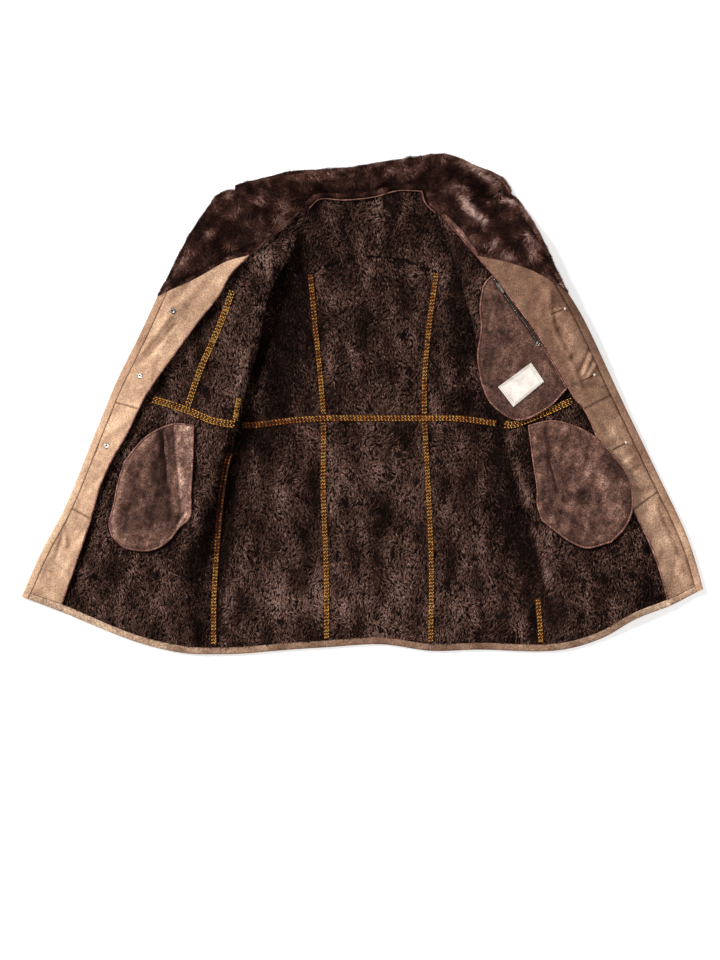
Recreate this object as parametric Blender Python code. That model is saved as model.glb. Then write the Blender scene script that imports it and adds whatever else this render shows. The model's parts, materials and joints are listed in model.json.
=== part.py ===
"""A men's shearling coat, laid wide open on its back with the fur side up.

Metres, +X across the coat to the wearer's left front, +Y to the collar, +Z up; the floor is z = 0.
Every table below is in millimetres on the laid-out coat. Each panel is a patch between named seam
lines. Its top follows the way the coat lies, and its underside is flat where it rests.
"""

import math

import bmesh
import bpy
import numpy as np
from mathutils import Matrix, Quaternion

MM = 0.001
NAME = "shearling_coat"

# Thicknesses of the layers
SHEARLING = 9.0
PLUSH = 17.0
SUEDE = 1.6
BAG = 2.0
TAPE = 1.6
LABEL = 0.8
HEM_HEIGHT = 8.0
EDGE_HEIGHT = 6.5
# Widths of the narrow pieces
TAPE_WIDTH = 11.0
WAIST_TAPE_WIDTH = 12.5
BINDING_RADIUS = 1.8
# Clearances
SEAM_GAP = 0.2
# how much the pile may swell before the hide under it leaves the floor
PILE_GIVE = 1.0
LAYER_GAP = 0.5
# How far the fold of each front rolls over, and how the layers stand off each other
ROLL_COLUMN = 11.0
FACING_STAND = 1.0
FACING_RISE = 7.0
FACING_RISE_WIDTH = 16.0
BUTTON_RISE = 7.5
BUTTON_RISE_WIDTH = 42.0
# Centre of the laid-out box, which becomes the origin
ORIGIN_X = 0.5
ORIGIN_Y = -1.84

# Where seams meet or end: name, then x and y
JUNCTIONS = {
    "neck_L": (-92, 334), "neck_R": (127, 326), "neck_top_R": (104, 364),
    "roll_top_L": (-107, 325), "roll_top_R": (136, 320),
    "notch_L": (-216, 363), "notch_R": (252, 356),
    "collar_end_L": (-216, 371), "collar_end_R": (248, 374),
    "lapel_top_L": (-247, 355), "lapel_tip_L": (-348, 181), "lapel_tip_R": (350, 188),
    "lapel_in_L": (-192, 251), "lapel_in_R": (194, 251),
    "back_yoke_L": (-135, 234), "back_yoke_R": (162, 230),
    "front_yoke_L": (-157, 191), "front_yoke_R": (175, 190),
    "panel_top_L": (-88, 223), "panel_top_R": (127, 225),
    "panel_waist_L": (-65, -25), "panel_waist_R": (106, -25),
    "panel_hem_L": (-60, -403), "panel_hem_R": (117, -409),
    "dart_top_L": (-219, 194), "dart_top_R": (222, 199),
    "dart_waist_L": (-298, -11), "dart_waist_R": (306, -18),
    "waist_L": (-209, -37), "waist_R": (235, -35),
    "facing_waist_L": (-369, 10), "facing_waist_R": (362, 7),
    "waist_edge_L": (-412, 18), "waist_edge_R": (414, 33),
    "band_top_L": (-330, 190), "band_top_R": (327, 204),
    "band_join_L": (-419, 2), "band_join_R": (423, 15),
    "band_skirt_L": (-493, -179), "band_skirt_R": (503, -150),
    "facing_join_L": (-379, -9), "facing_join_R": (377, -9),
    "facing_skirt_L": (-461, -196), "facing_skirt_R": (461, -180),
    "band_hem_L": (-563, -323), "band_hem_R": (566, -311),
    "facing_hem_L": (-511, -341), "facing_hem_R": (520, -333),
    "corner_L": (-580, -329), "corner_R": (581, -316),
    "side_hem_L": (-252, -415), "side_hem_R": (305, -410),
    "hem_in_L": (-568, -333), "hem_in_R": (570, -321),
    "hem_side_L": (-252, -427), "hem_side_R": (305, -422),
    "hem_panel_L": (-60, -415), "hem_panel_R": (117, -421),
}

# Seam and edge lines: each row is a junction's name or a point that the line passes through
LINES = {
    "collar_top": ["collar_end_L", (-175, 382), (-128, 394), (-20, 402), (41, 412), (138, 424),
                   (162, 420), (189, 407), (230, 391), "collar_end_R"],
    "collar_left": ["notch_L", "collar_end_L"],
    "collar_right": ["notch_R", (253, 366), "collar_end_R"],
    "gorge_L": ["lapel_top_L", (-235, 361), "notch_L", (-170, 348), "neck_L"],
    "gorge_R": ["neck_top_R", (158, 360), (197, 350), "notch_R"],
    "neck": ["neck_L", (-74, 350), (-29, 349), (19, 354), (61, 365), "neck_top_R"],
    "neck_side": ["neck_top_R", (110, 343), "neck_R"],
    "lapel_out_L": ["lapel_tip_L", (-330, 215), (-299, 276), (-272, 319), "lapel_top_L"],
    "lapel_out_R": ["lapel_tip_R", (330, 229), (306, 281), (279, 327), (264, 349), "notch_R"],
    "lapel_low_L": ["lapel_tip_L", "band_top_L", (-282, 212), (-230, 241), "lapel_in_L"],
    "lapel_low_R": ["lapel_in_R", (258, 237), (301, 220), "band_top_R", "lapel_tip_R"],
    "roll_L": ["lapel_in_L", (-175, 263), (-156, 281), "roll_top_L"],
    "roll_R": ["lapel_in_R", (173, 276), "roll_top_R"],
    "fold_L": ["neck_L", (-105, 298), (-120, 260), "back_yoke_L", "front_yoke_L", (-167, 150),
               (-173, 113), (-187, 59), (-201, 10), "waist_L"],
    "fold_R": ["neck_R", (146, 278), "back_yoke_R", "front_yoke_R", (190, 133), (198, 71),
               (210, 10), "waist_R"],
    "side_L": ["waist_L", (-220, -71), (-230, -101), (-241, -170), (-246, -232), (-252, -332),
               "side_hem_L"],
    "side_R": ["waist_R", (248, -79), (265, -147), (283, -207), (293, -266), (299, -326),
               "side_hem_R"],
    "yoke": ["back_yoke_L", (-112, 225), "panel_top_L", (-53, 237), (-7, 250), (41, 250),
             (82, 242), "panel_top_R", "back_yoke_R"],
    "panel_up_L": ["panel_top_L", (-81, 145), (-72, 59), "panel_waist_L"],
    "panel_low_L": ["panel_waist_L", (-66, -149), (-61, -275), "panel_hem_L"],
    "panel_up_R": ["panel_top_R", (115, 139), (107, 50), "panel_waist_R"],
    "panel_low_R": ["panel_waist_R", (113, -149), (118, -275), "panel_hem_R"],
    "front_yoke_L": ["dart_top_L", (-190, 193), "front_yoke_L"],
    "front_yoke_R": ["front_yoke_R", (200, 196), "dart_top_R"],
    "dart_L": ["dart_top_L", (-235, 149), (-252, 108), (-274, 59), "dart_waist_L"],
    "dart_R": ["dart_top_R", (241, 149), (261, 99), (281, 48), "dart_waist_R"],
    "shoulder_L": ["dart_top_L", "lapel_in_L"],
    "shoulder_R": ["lapel_in_R", "dart_top_R"],
    "waist_front_L": ["waist_edge_L", (-390, 15), "facing_waist_L", (-352, 6), "dart_waist_L",
                      (-252, -30), "waist_L"],
    "waist_back": ["waist_L", (-177, -36), (-122, -29), "panel_waist_L", (22, -25),
                   "panel_waist_R", (170, -26), "waist_R"],
    "waist_front_R": ["waist_R", (252, -37), (271, -32), "dart_waist_R", "facing_waist_R",
                      (388, 18), "waist_edge_R"],
    "facing_in_L": ["lapel_in_L", (-224, 218), (-243, 183), (-274, 144), (-325, 74), (-350, 40),
                    "facing_waist_L", "facing_join_L", (-401, -55), (-423, -92), (-445, -140),
                    "facing_skirt_L", (-478, -247), "facing_hem_L"],
    "facing_in_R": ["lapel_in_R", (224, 217), (262, 166), (296, 120), (323, 76), (345, 37),
                    "facing_waist_R", "facing_join_R", (406, -74), (430, -122),
                    "facing_skirt_R", (493, -247), (508, -290), "facing_hem_R"],
    "band_in_L": ["band_top_L", (-367, 109), (-404, 35), "waist_edge_L", "band_join_L",
                  (-447, -67), "band_skirt_L", (-535, -259), "band_hem_L"],
    "band_in_R": ["band_top_R", (362, 143), (402, 59), "waist_edge_R", "band_join_R", (488, -119),
                  "band_skirt_R", (539, -225), (556, -273), "band_hem_R"],
    "edge_L": ["lapel_tip_L", (-379, 115), (-418, 37), (-459, -62), (-505, -174), (-547, -254),
               "corner_L"],
    "edge_R": ["lapel_tip_R", (374, 149), (439, 13), (500, -113), (551, -220), (568, -269),
               "corner_R"],
    "facing_join_L": ["band_join_L", "facing_join_L"],
    "facing_join_R": ["facing_join_R", "band_join_R"],
    "facing_skirt_L": ["band_skirt_L", "facing_skirt_L"],
    "facing_skirt_R": ["facing_skirt_R", "band_skirt_R"],
    "hem_in": ["band_hem_L", "facing_hem_L", (-397, -389), (-342, -405), (-293, -414),
               "side_hem_L", (-207, -414), (-122, -407), "panel_hem_L", (34, -398), "panel_hem_R",
               (201, -407), "side_hem_R", (351, -405), (404, -388), (463, -355), "facing_hem_R",
               "band_hem_R"],
    "hem_out": ["hem_in_L", (-513, -354), (-401, -400), (-345, -417), (-294, -426), "hem_side_L",
                (-207, -426), (-122, -419), "hem_panel_L", (34, -410), "hem_panel_R", (201, -419),
                "hem_side_R", (354, -417), (410, -399), (468, -366), (525, -344), "hem_in_R"],
    "hem_tip_L": ["corner_L", "hem_in_L"],
    "hem_tip_R": ["hem_in_R", "corner_R"],
}

# Outlines of the flat bags: each side runs left to right or bottom to top
BAGS = {
    "pocket_bag_L": {
        "top": [(-402, -98), (-372, -62), (-345, -44), (-316, -35), (-286, -38)],
        "bottom": [(-424, -226), (-401, -245), (-359, -249), (-332, -236), (-311, -211)],
        "left": [(-424, -226), (-429, -206), (-421, -171), (-414, -135), (-402, -98)],
        "right": [(-311, -211), (-293, -193), (-291, -152), (-288, -100), (-286, -38)],
    },
    "pocket_bag_R": {
        "top": [(283, -38), (321, -30), (359, -38), (393, -56), (420, -80)],
        "bottom": [(306, -198), (325, -213), (352, -233), (381, -245), (423, -235)],
        "left": [(306, -198), (298, -170), (298, -147), (291, -98), (283, -38)],
        "right": [(423, -235), (448, -208), (459, -174), (452, -124), (420, -80)],
    },
    "inner_pocket": {
        "top": [(206, 198), (212, 208), (219, 217)],
        "bottom": [(204, 33), (219, 1), (263, -28), (312, -8), (341, 24)],
        "left": [(204, 33), (197, 82), (203, 125), (201, 166), (206, 198)],
        "right": [(341, 24), (316, 70), (289, 113), (255, 159), (219, 217)],
    },
    "label": {
        "top": [(231, 28), (287, 69)],
        "bottom": [(257, -6), (309, 37)],
        "left": [(257, -6), (231, 28)],
        "right": [(309, 37), (287, 69)],
    },
}

# How each sleeve lies under its front: the shoulder end and the cuff end of its middle line
SLEEVES = {
    "L": {"shoulder": (-239, 236), "cuff": (-374, -320)},
    "R": {"shoulder": (255, 236), "cuff": (404, -320)},
}
# places along the sleeve from 0 to 1, with its half-width and its height on each side there
SLEEVE_ALONG = (0.0, 0.15, 0.35, 0.6, 1.0)
SLEEVE_HALF_WIDTH = (62.0, 80.0, 78.0, 75.0, 70.0)
SLEEVE_HEIGHT = {"L": (32.0, 32.0, 31.0, 25.0, 20.0), "R": (27.0, 27.0, 26.0, 23.0, 20.0)}
SLEEVE_MARGIN = (0.4, 0.5, 1.3, 2.2, 2.2)
SLEEVE_OUTER_DRAPE = 90.0
SLEEVE_OUTER_START = 20.0
# y down the inner fold of each front, the share of the sleeve's height that its edge keeps,
# and the width over which it rolls up to the full height
FOLD_Y = (336, 300, 250, 190, 110, 37, -37, -101, -169, -225, -269, -330)
FOLD_SHARE = {
    "L": (0.0, 0.5, 0.75, 0.8, 0.8, 0.6, 0.3, 0.25, 0.1, 0.0, 0.0, 0.0),
    "R": (0.0, 0.3, 0.45, 0.55, 0.55, 0.6, 0.6, 0.6, 0.45, 0.28, 0.1, 0.0),
}
FOLD_ROLL = {
    "L": (14, 14, 12, 12, 12, 12, 12, 14, 20, 32, 45, 55),
    "R": (14, 14, 14, 16, 16, 16, 14, 12, 14, 20, 34, 50),
}

# The largest soft folds of each layer: start x and y, end x and y, height and half-width
BACK_FOLDS = (
    ("armhole_L", -151, 99, -166, 30, 8.0, 16.0),
    ("blade_R", 141, 176, 153, 14, 6.0, 24.0),
    ("skirt_L", -211, -241, -114, -127, 4.5, 30.0),
    ("skirt_R", 184, -88, 236, -334, 4.5, 28.0),
    ("neck", -60, 300, 70, 320, 3.0, 30.0),
)
FRONT_FOLDS = (
    ("skirt_L", -470, -300, -330, -250, 4.0, 32.0),
    ("skirt_R", 400, -290, 330, -360, 4.0, 30.0),
    ("edge_L", -450, -120, -500, -260, 2.5, 26.0),
    ("edge_R", 452, -60, 520, -230, 2.5, 26.0),
)

# Press buttons through the left front, and the slits that they fasten in
BUTTONS = ((-322, 157), (-377, 47), (-433, -72))
BUTTON_RADIUS = 9.0
BUTTON_HEIGHT = 4.0
RIVET_RADIUS = 4.4
RIVET_HEIGHT = 1.6
RIVET_BORE = 1.5
SEAT_GAP = 0.3
BUTTONHOLES = (((321, 152), (346, 161)), ((371, 37), (396, 49)), ((426, -79), (450, -66)))
BUTTONHOLE_WIDTH = 2.2

# The inner pocket's zip: middle line, slider and pull
ZIP_LINE = ((224, 211), (256, 163), (289, 118), (299, 102))
ZIP_TAPE_WIDTH = 6.0
ZIP_TAPE = 1.2
SLIDER_AT = (232, 200)
SLIDER = {"length": 9.0, "width": 7.0, "height": 2.8}
LUG = {"thick": 1.2, "length": 3.0, "height": 3.4}
AXLE = {"radius": 0.5, "forward": 1.0, "up": 2.0}
PULL = {"length": 14.0, "width": 4.4, "thick": 1.2, "eye": 1.35, "bore": 0.85, "root": 2.6}
PULL_DROOP = math.radians(10)

COLOURS = {
    "fur": ((0.050, 0.026, 0.020), 0.95),
    "plush": ((0.035, 0.014, 0.010), 0.70),
    "tan_suede": ((0.48, 0.30, 0.18), 0.92),
    "brown_suede": ((0.25, 0.17, 0.11), 0.92),
    "bag_suede": ((0.11, 0.055, 0.042), 0.88),
    "binding": ((0.22, 0.11, 0.08), 0.70),
    "gold_tape": ((0.48, 0.26, 0.03), 0.75),
    "label_cloth": ((0.72, 0.66, 0.56), 0.90),
    "nickel": ((0.62, 0.61, 0.58), 0.30),
}
METALS = ("nickel",)


def clear_scene():
    for old in list(bpy.data.objects):
        bpy.data.objects.remove(old, do_unlink=True)


def collection(name):
    made = bpy.data.collections.new(name)
    bpy.context.scene.collection.children.link(made)
    return made


def material(name, colour):
    shade, roughness = COLOURS[colour]
    made = bpy.data.materials.new(name)
    made.use_nodes = True
    shader = made.node_tree.nodes["Principled BSDF"]
    shader.inputs["Base Color"].default_value = (*shade, 1.0)
    shader.inputs["Roughness"].default_value = roughness
    shader.inputs["Metallic"].default_value = 1.0 if colour in METALS else 0.0
    made.diffuse_color = (*shade, 1.0)
    return made


# ---- seam lines -----------------------------------------------------------------------------

def point(entry):
    return np.array(JUNCTIONS[entry] if isinstance(entry, str) else entry, float)


def spline(points, steps=24):
    """A smooth line through the points, with this many steps between each two of them."""
    points = np.array(points, float)
    if len(points) == 2:
        share = np.linspace(0, 1, steps + 1)[:, None]
        return points[0] * (1 - share) + points[1] * share
    chord = np.linalg.norm(np.diff(points, axis=0), axis=1) ** 0.5
    knots = np.concatenate([[0], np.cumsum(chord)])
    slopes = np.gradient(points, knots, axis=0)
    share = np.arange(steps)[:, None] / steps
    pieces = []
    for i in range(len(points) - 1):
        span = knots[i + 1] - knots[i]
        a, b = points[i], points[i + 1]
        ma, mb = slopes[i] * span, slopes[i + 1] * span
        s2, s3 = share ** 2, share ** 3
        pieces.append(a * (2 * s3 - 3 * s2 + 1) + ma * (s3 - 2 * s2 + share)
                      + b * (3 * s2 - 2 * s3) + mb * (s3 - s2))
    return np.concatenate([*pieces, points[-1:]])


def spaced(line, shares):
    """Points of a fine line at these shares of its length."""
    lengths = np.linalg.norm(np.diff(line, axis=0), axis=1)
    run = np.concatenate([[0], np.cumsum(lengths)])
    at = np.asarray(shares) * run[-1]
    return np.stack([np.interp(at, run, line[:, i]) for i in (0, 1)], axis=1)


def stretch(name, start, end, shares):
    """The part of a named line from one of its junctions to another, at these shares."""
    rows = LINES[name]
    steps = 24
    line = spline([point(row) for row in rows], steps)
    first, last = rows.index(start) * steps, rows.index(end) * steps
    if first > last:
        line = line[last:first + 1][::-1]
    else:
        line = line[first:last + 1]
    return spaced(line, shares)


def run(shares, *stretches):
    """One edge of a patch: either one stretch, or several joined and spaced as one."""
    fine = np.linspace(0, 1, 40)
    pieces = [stretch(*part, fine) for part in stretches]
    joined = np.concatenate([pieces[0], *[piece[1:] for piece in pieces[1:]]])
    return spaced(joined, shares)


def even(count):
    return np.linspace(0, 1, count + 1)


def stitched(*stretches):
    """One edge of a patch from several stretches, each spaced by its own shares."""
    pieces = [stretch(name, start, end, shares) for shares, name, start, end in stretches]
    return np.concatenate([pieces[0], *[piece[1:] for piece in pieces[1:]]])


def coons(bottom, top, left, right):
    """The grid of points between four edges, as rows from the bottom to the top."""
    u = np.linspace(0, 1, len(bottom))[None, :, None]
    v = np.linspace(0, 1, len(left))[:, None, None]
    low, high, west, east = bottom[None], top[None], left[:, None], right[:, None]
    corners = ((1 - u) * (1 - v) * bottom[0] + u * (1 - v) * bottom[-1]
               + (1 - u) * v * top[0] + u * v * top[-1])
    return (1 - v) * low + v * high + (1 - u) * west + u * east - corners


def rim_of(rows, columns):
    """The grid places round a patch, anticlockwise."""
    south = [(0, j) for j in range(columns)]
    east = [(i, columns - 1) for i in range(1, rows)]
    north = [(rows - 1, j) for j in range(columns - 2, -1, -1)]
    west = [(i, 0) for i in range(rows - 2, 0, -1)]
    return south + east + north + west


def inset(grid, gap=SEAM_GAP):
    """The same grid with its rim drawn in, which leaves the seam's gap to the next piece."""
    places = rim_of(*grid.shape[:2])
    loop = np.array([grid[place] for place in places])
    before, after = np.roll(loop, 1, axis=0), np.roll(loop, -1, axis=0)
    moved = grid.copy()
    for place, here, back, ahead in zip(places, loop, before, after):
        one = (here - back) / np.linalg.norm(here - back)
        two = (ahead - here) / np.linalg.norm(ahead - here)
        inward = np.array([-one[1] - two[1], one[0] + two[0]])
        inward /= max(np.linalg.norm(inward), 1e-6)
        lean = max(float(inward @ np.array([-one[1], one[0]])), 0.4)
        moved[place] = here + inward * gap / lean
    return moved


# ---- how the coat lies ----------------------------------------------------------------------

def smooth(t):
    t = np.clip(t, 0, 1)
    return t * t * (3 - 2 * t)


def distance_to(line, x, y):
    """Distance from each point to a fine line."""
    starts, ends = line[:-1], line[1:]
    along = ends - starts
    px = x[..., None] - starts[:, 0]
    py = y[..., None] - starts[:, 1]
    share = (px * along[:, 0] + py * along[:, 1]) / (along ** 2).sum(axis=1)
    share = np.clip(share, 0, 1)
    return np.hypot(px - share * along[:, 0], py - share * along[:, 1]).min(axis=-1)


def ridge(x, y, fold):
    """One soft fold: a ridge, or a trough if its height is negative, along a straight run."""
    _, x0, y0, x1, y1, height, width = fold
    line = np.array([(x0, y0), (x1, y1)], float)
    return height * np.exp(-(distance_to(line, x, y) / width) ** 2)


def sleeve_place(side, x, y):
    """Share of the sleeve's length, and distance out from its middle line to the front edge."""
    start = np.array(SLEEVES[side]["shoulder"], float)
    run_to = np.array(SLEEVES[side]["cuff"], float) - start
    length = np.linalg.norm(run_to)
    ahead = run_to / length
    outward = -1 if side == "L" else 1
    dx, dy = x - start[0], y - start[1]
    along = (dx * ahead[0] + dy * ahead[1]) / length
    across = outward * (-dx * ahead[1] + dy * ahead[0])
    return along, across


def sleeve_height(side, along):
    return np.interp(along, SLEEVE_ALONG, SLEEVE_HEIGHT[side])


def sleeve_half_width(along):
    return np.interp(along, SLEEVE_ALONG, SLEEVE_HALF_WIDTH)


INNER_EDGES = {
    side: np.concatenate([
        spline([point(row) for row in LINES["fold_" + side]], 5),
        spline([point(row) for row in LINES["side_" + side]], 5)[1:],
    ])
    for side in "LR"
}
FACING_EDGES = {side: spline([point(row) for row in LINES["facing_in_" + side]], 4) for side in "LR"}


def sleeve_lift(side, x, y):
    """How far the front stands off the floor over its sleeve."""
    along, across = sleeve_place(side, x, y)
    half = sleeve_half_width(along)
    outer = smooth((half + SLEEVE_OUTER_DRAPE - SLEEVE_OUTER_START - across) / SLEEVE_OUTER_DRAPE)
    inner_distance = distance_to(INNER_EDGES[side], x, y)
    down = -y
    share = np.interp(down, -np.array(FOLD_Y, float), FOLD_SHARE[side])
    roll = np.interp(down, -np.array(FOLD_Y, float), FOLD_ROLL[side])
    inner = share + (1 - share) * smooth(inner_distance / roll)
    ends = smooth((along + 0.18) / 0.12) * smooth((1.15 - along) / 0.10)
    margin = np.interp(along, SLEEVE_ALONG, SLEEVE_MARGIN)
    return (sleeve_height(side, along) + margin) * outer * inner * ends


def front_height(x, y):
    """Top of the fur on the two fronts."""
    lift = np.where(x < 0, sleeve_lift("L", x, y), sleeve_lift("R", x, y))
    height = SHEARLING + lift
    for fold in FRONT_FOLDS:
        height = height + ridge(x, y, fold)
    for bx, by in BUTTONS:
        height = height + BUTTON_RISE * np.exp(-((x - bx) ** 2 + (y - by) ** 2) / BUTTON_RISE_WIDTH ** 2)
    return height


def back_height(x, y):
    """Top of the fur on the back, which lies straight on the floor."""
    height = np.full_like(x, SHEARLING)
    for fold in BACK_FOLDS:
        height = height + ridge(x, y, fold)
    return height


def facing_height(x, y):
    """Top of the suede facings, whose inner edges stand clear of the fur."""
    edge = np.where(x < 0, distance_to(FACING_EDGES["L"], x, y), distance_to(FACING_EDGES["R"], x, y))
    rise = FACING_RISE * np.exp(-(edge / FACING_RISE_WIDTH) ** 2)
    return front_height(x, y) + FACING_STAND + SUEDE + rise


def over(surface, x, y, reach):
    """The highest that a surface gets within reach of each point."""
    best = surface(x, y)
    for k in range(8):
        turn = math.pi * k / 4
        best = np.maximum(best, surface(x + reach * math.cos(turn), y + reach * math.sin(turn)))
    return best


# ---- making solids --------------------------------------------------------------------------

def finish(name, mesh, group, colour):
    made = bpy.data.objects.new(name, mesh)
    group.objects.link(made)
    made.data.materials.append(material(name, colour))
    return made


def slab(name, grid, top, under, group, colour):
    """A closed sheet over a grid of plan points, from its under heights to its top heights."""
    rows, columns = grid.shape[:2]
    bm = bmesh.new()
    bmesh.ops.create_grid(bm, x_segments=columns - 1, y_segments=rows - 1, size=1.0)
    lower = list(bm.verts)
    places = {
        vert: (round((vert.co.y + 1) / 2 * (rows - 1)), round((vert.co.x + 1) / 2 * (columns - 1)))
        for vert in lower
    }
    grown = bmesh.ops.extrude_face_region(bm, geom=list(bm.faces), use_keep_orig=True)
    upper = [item for item in grown["geom"] if isinstance(item, bmesh.types.BMVert)]
    for vert in upper:
        place = (round((vert.co.y + 1) / 2 * (rows - 1)), round((vert.co.x + 1) / 2 * (columns - 1)))
        x, y = grid[place]
        vert.co = ((x - ORIGIN_X) * MM, (y - ORIGIN_Y) * MM, top[place] * MM)
    for vert, place in places.items():
        x, y = grid[place]
        vert.co = ((x - ORIGIN_X) * MM, (y - ORIGIN_Y) * MM, under[place] * MM)
    bmesh.ops.triangulate(bm, faces=list(bm.faces), quad_method="FIXED")
    bmesh.ops.recalc_face_normals(bm, faces=list(bm.faces))
    mesh = bpy.data.meshes.new(name)
    bm.to_mesh(mesh)
    bm.free()
    mesh.shade_smooth()
    mesh.set_sharp_from_angle(angle=math.radians(50))
    return finish(name, mesh, group, colour)


def heights(surface, grid):
    return surface(grid[..., 0], grid[..., 1])


def panel(name, grid, surface, group, turned_edge=None):
    """A shearling panel. A turned edge is the first or last column, rolled down to the floor."""
    grid = inset(grid)
    top = heights(surface, grid)
    under = np.where(top - SHEARLING < PILE_GIVE, 0.0, top - SHEARLING)
    if turned_edge is not None:
        under[:, turned_edge] = 0.0
    return slab(name, grid, top, under, group, "fur")


def layer(name, grid, base, wall, group, colour, crown=0.0):
    """A thin piece laid on a base height, raised in the middle by its crown."""
    top = base + wall
    if crown:
        top[1:-1, 1:-1] += crown
    return slab(name, grid, top, base, group, colour)


def graded(count, end_share):
    """Even shares of an edge, with one narrow step of this share at its end."""
    return np.append(np.linspace(0, 1 - end_share, count), 1.0)


# ---- the back -------------------------------------------------------------------------------

NECK_CELLS = even(10)
NECK_SIDE_CELLS = even(4)


def build_back(group):
    side_columns, middle_columns, up, down, rise = even(4), even(6), even(9), even(10), even(5)
    bottom = stitched((side_columns, "yoke", "back_yoke_L", "panel_top_L"),
                      (middle_columns, "yoke", "panel_top_L", "panel_top_R"),
                      (side_columns, "yoke", "panel_top_R", "back_yoke_R"))
    top = stitched((NECK_CELLS, "neck", "neck_L", "neck_top_R"),
                   (NECK_SIDE_CELLS, "neck_side", "neck_top_R", "neck_R"))
    left = run(rise, ("fold_L", "back_yoke_L", "neck_L"))
    right = run(rise, ("fold_R", "back_yoke_R", "neck_R"))
    panel("back_yoke", coons(bottom, top, left, right), back_height, group)

    fold = {side: stitched((even(8), "fold_" + side, "waist_" + side, "front_yoke_" + side),
                           (even(1), "fold_" + side, "front_yoke_" + side, "back_yoke_" + side))
            for side in "LR"}
    seam = {side: run(up, ("panel_up_" + side, "panel_waist_" + side, "panel_top_" + side))
            for side in "LR"}
    waist = {"side_L": ("waist_L", "panel_waist_L"), "middle": ("panel_waist_L", "panel_waist_R"),
             "side_R": ("panel_waist_R", "waist_R")}
    yoke = {"side_L": ("back_yoke_L", "panel_top_L"), "middle": ("panel_top_L", "panel_top_R"),
            "side_R": ("panel_top_R", "back_yoke_R")}
    hem = {"side_L": ("side_hem_L", "panel_hem_L"), "middle": ("panel_hem_L", "panel_hem_R"),
           "side_R": ("panel_hem_R", "side_hem_R")}
    edges = {"side_L": (fold["L"], seam["L"]), "middle": (seam["L"], seam["R"]),
             "side_R": (seam["R"], fold["R"])}
    skirt = {side: run(down, ("panel_low_" + side, "panel_hem_" + side, "panel_waist_" + side))
             for side in "LR"}
    outer = {side: run(down, ("side_" + side, "side_hem_" + side, "waist_" + side)) for side in "LR"}
    skirts = {"side_L": (outer["L"], skirt["L"]), "middle": (skirt["L"], skirt["R"]),
              "side_R": (skirt["R"], outer["R"])}
    for place in ("side_L", "middle", "side_R"):
        across = middle_columns if place == "middle" else side_columns
        waistline = run(across, ("waist_back", *waist[place]))
        upper = coons(waistline, run(across, ("yoke", *yoke[place])), *edges[place])
        panel("back_upper_" + place, upper, back_height, group)
        lower = coons(run(across, ("hem_in", *hem[place])), waistline, *skirts[place])
        panel("back_lower_" + place, lower, back_height, group)


# ---- the fronts -----------------------------------------------------------------------------

def mirrored(side, grid):
    """Left patches are drawn from the edge inwards, and right patches the other way round."""
    return grid if side == "L" else grid[:, ::-1]


def front_patch(side, columns, rows, bottom, top, outer, inner):
    """A patch of a front, drawn from its front edge to its fold. Its edges name their stretches."""
    def edge(shares, name, start, end):
        return run(shares, (name + side if name.endswith("_") else name, start + side, end + side))

    grid = coons(edge(columns, *bottom), edge(columns, *top), edge(rows, *outer), edge(rows, *inner))
    return mirrored(side, grid)


OUTER_COLUMNS = even(5)
CHEST_COLUMNS = even(3)
FOLD_COLUMNS = graded(4, 0.13)
SKIRT_COLUMNS = graded(7, 0.055)


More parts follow.
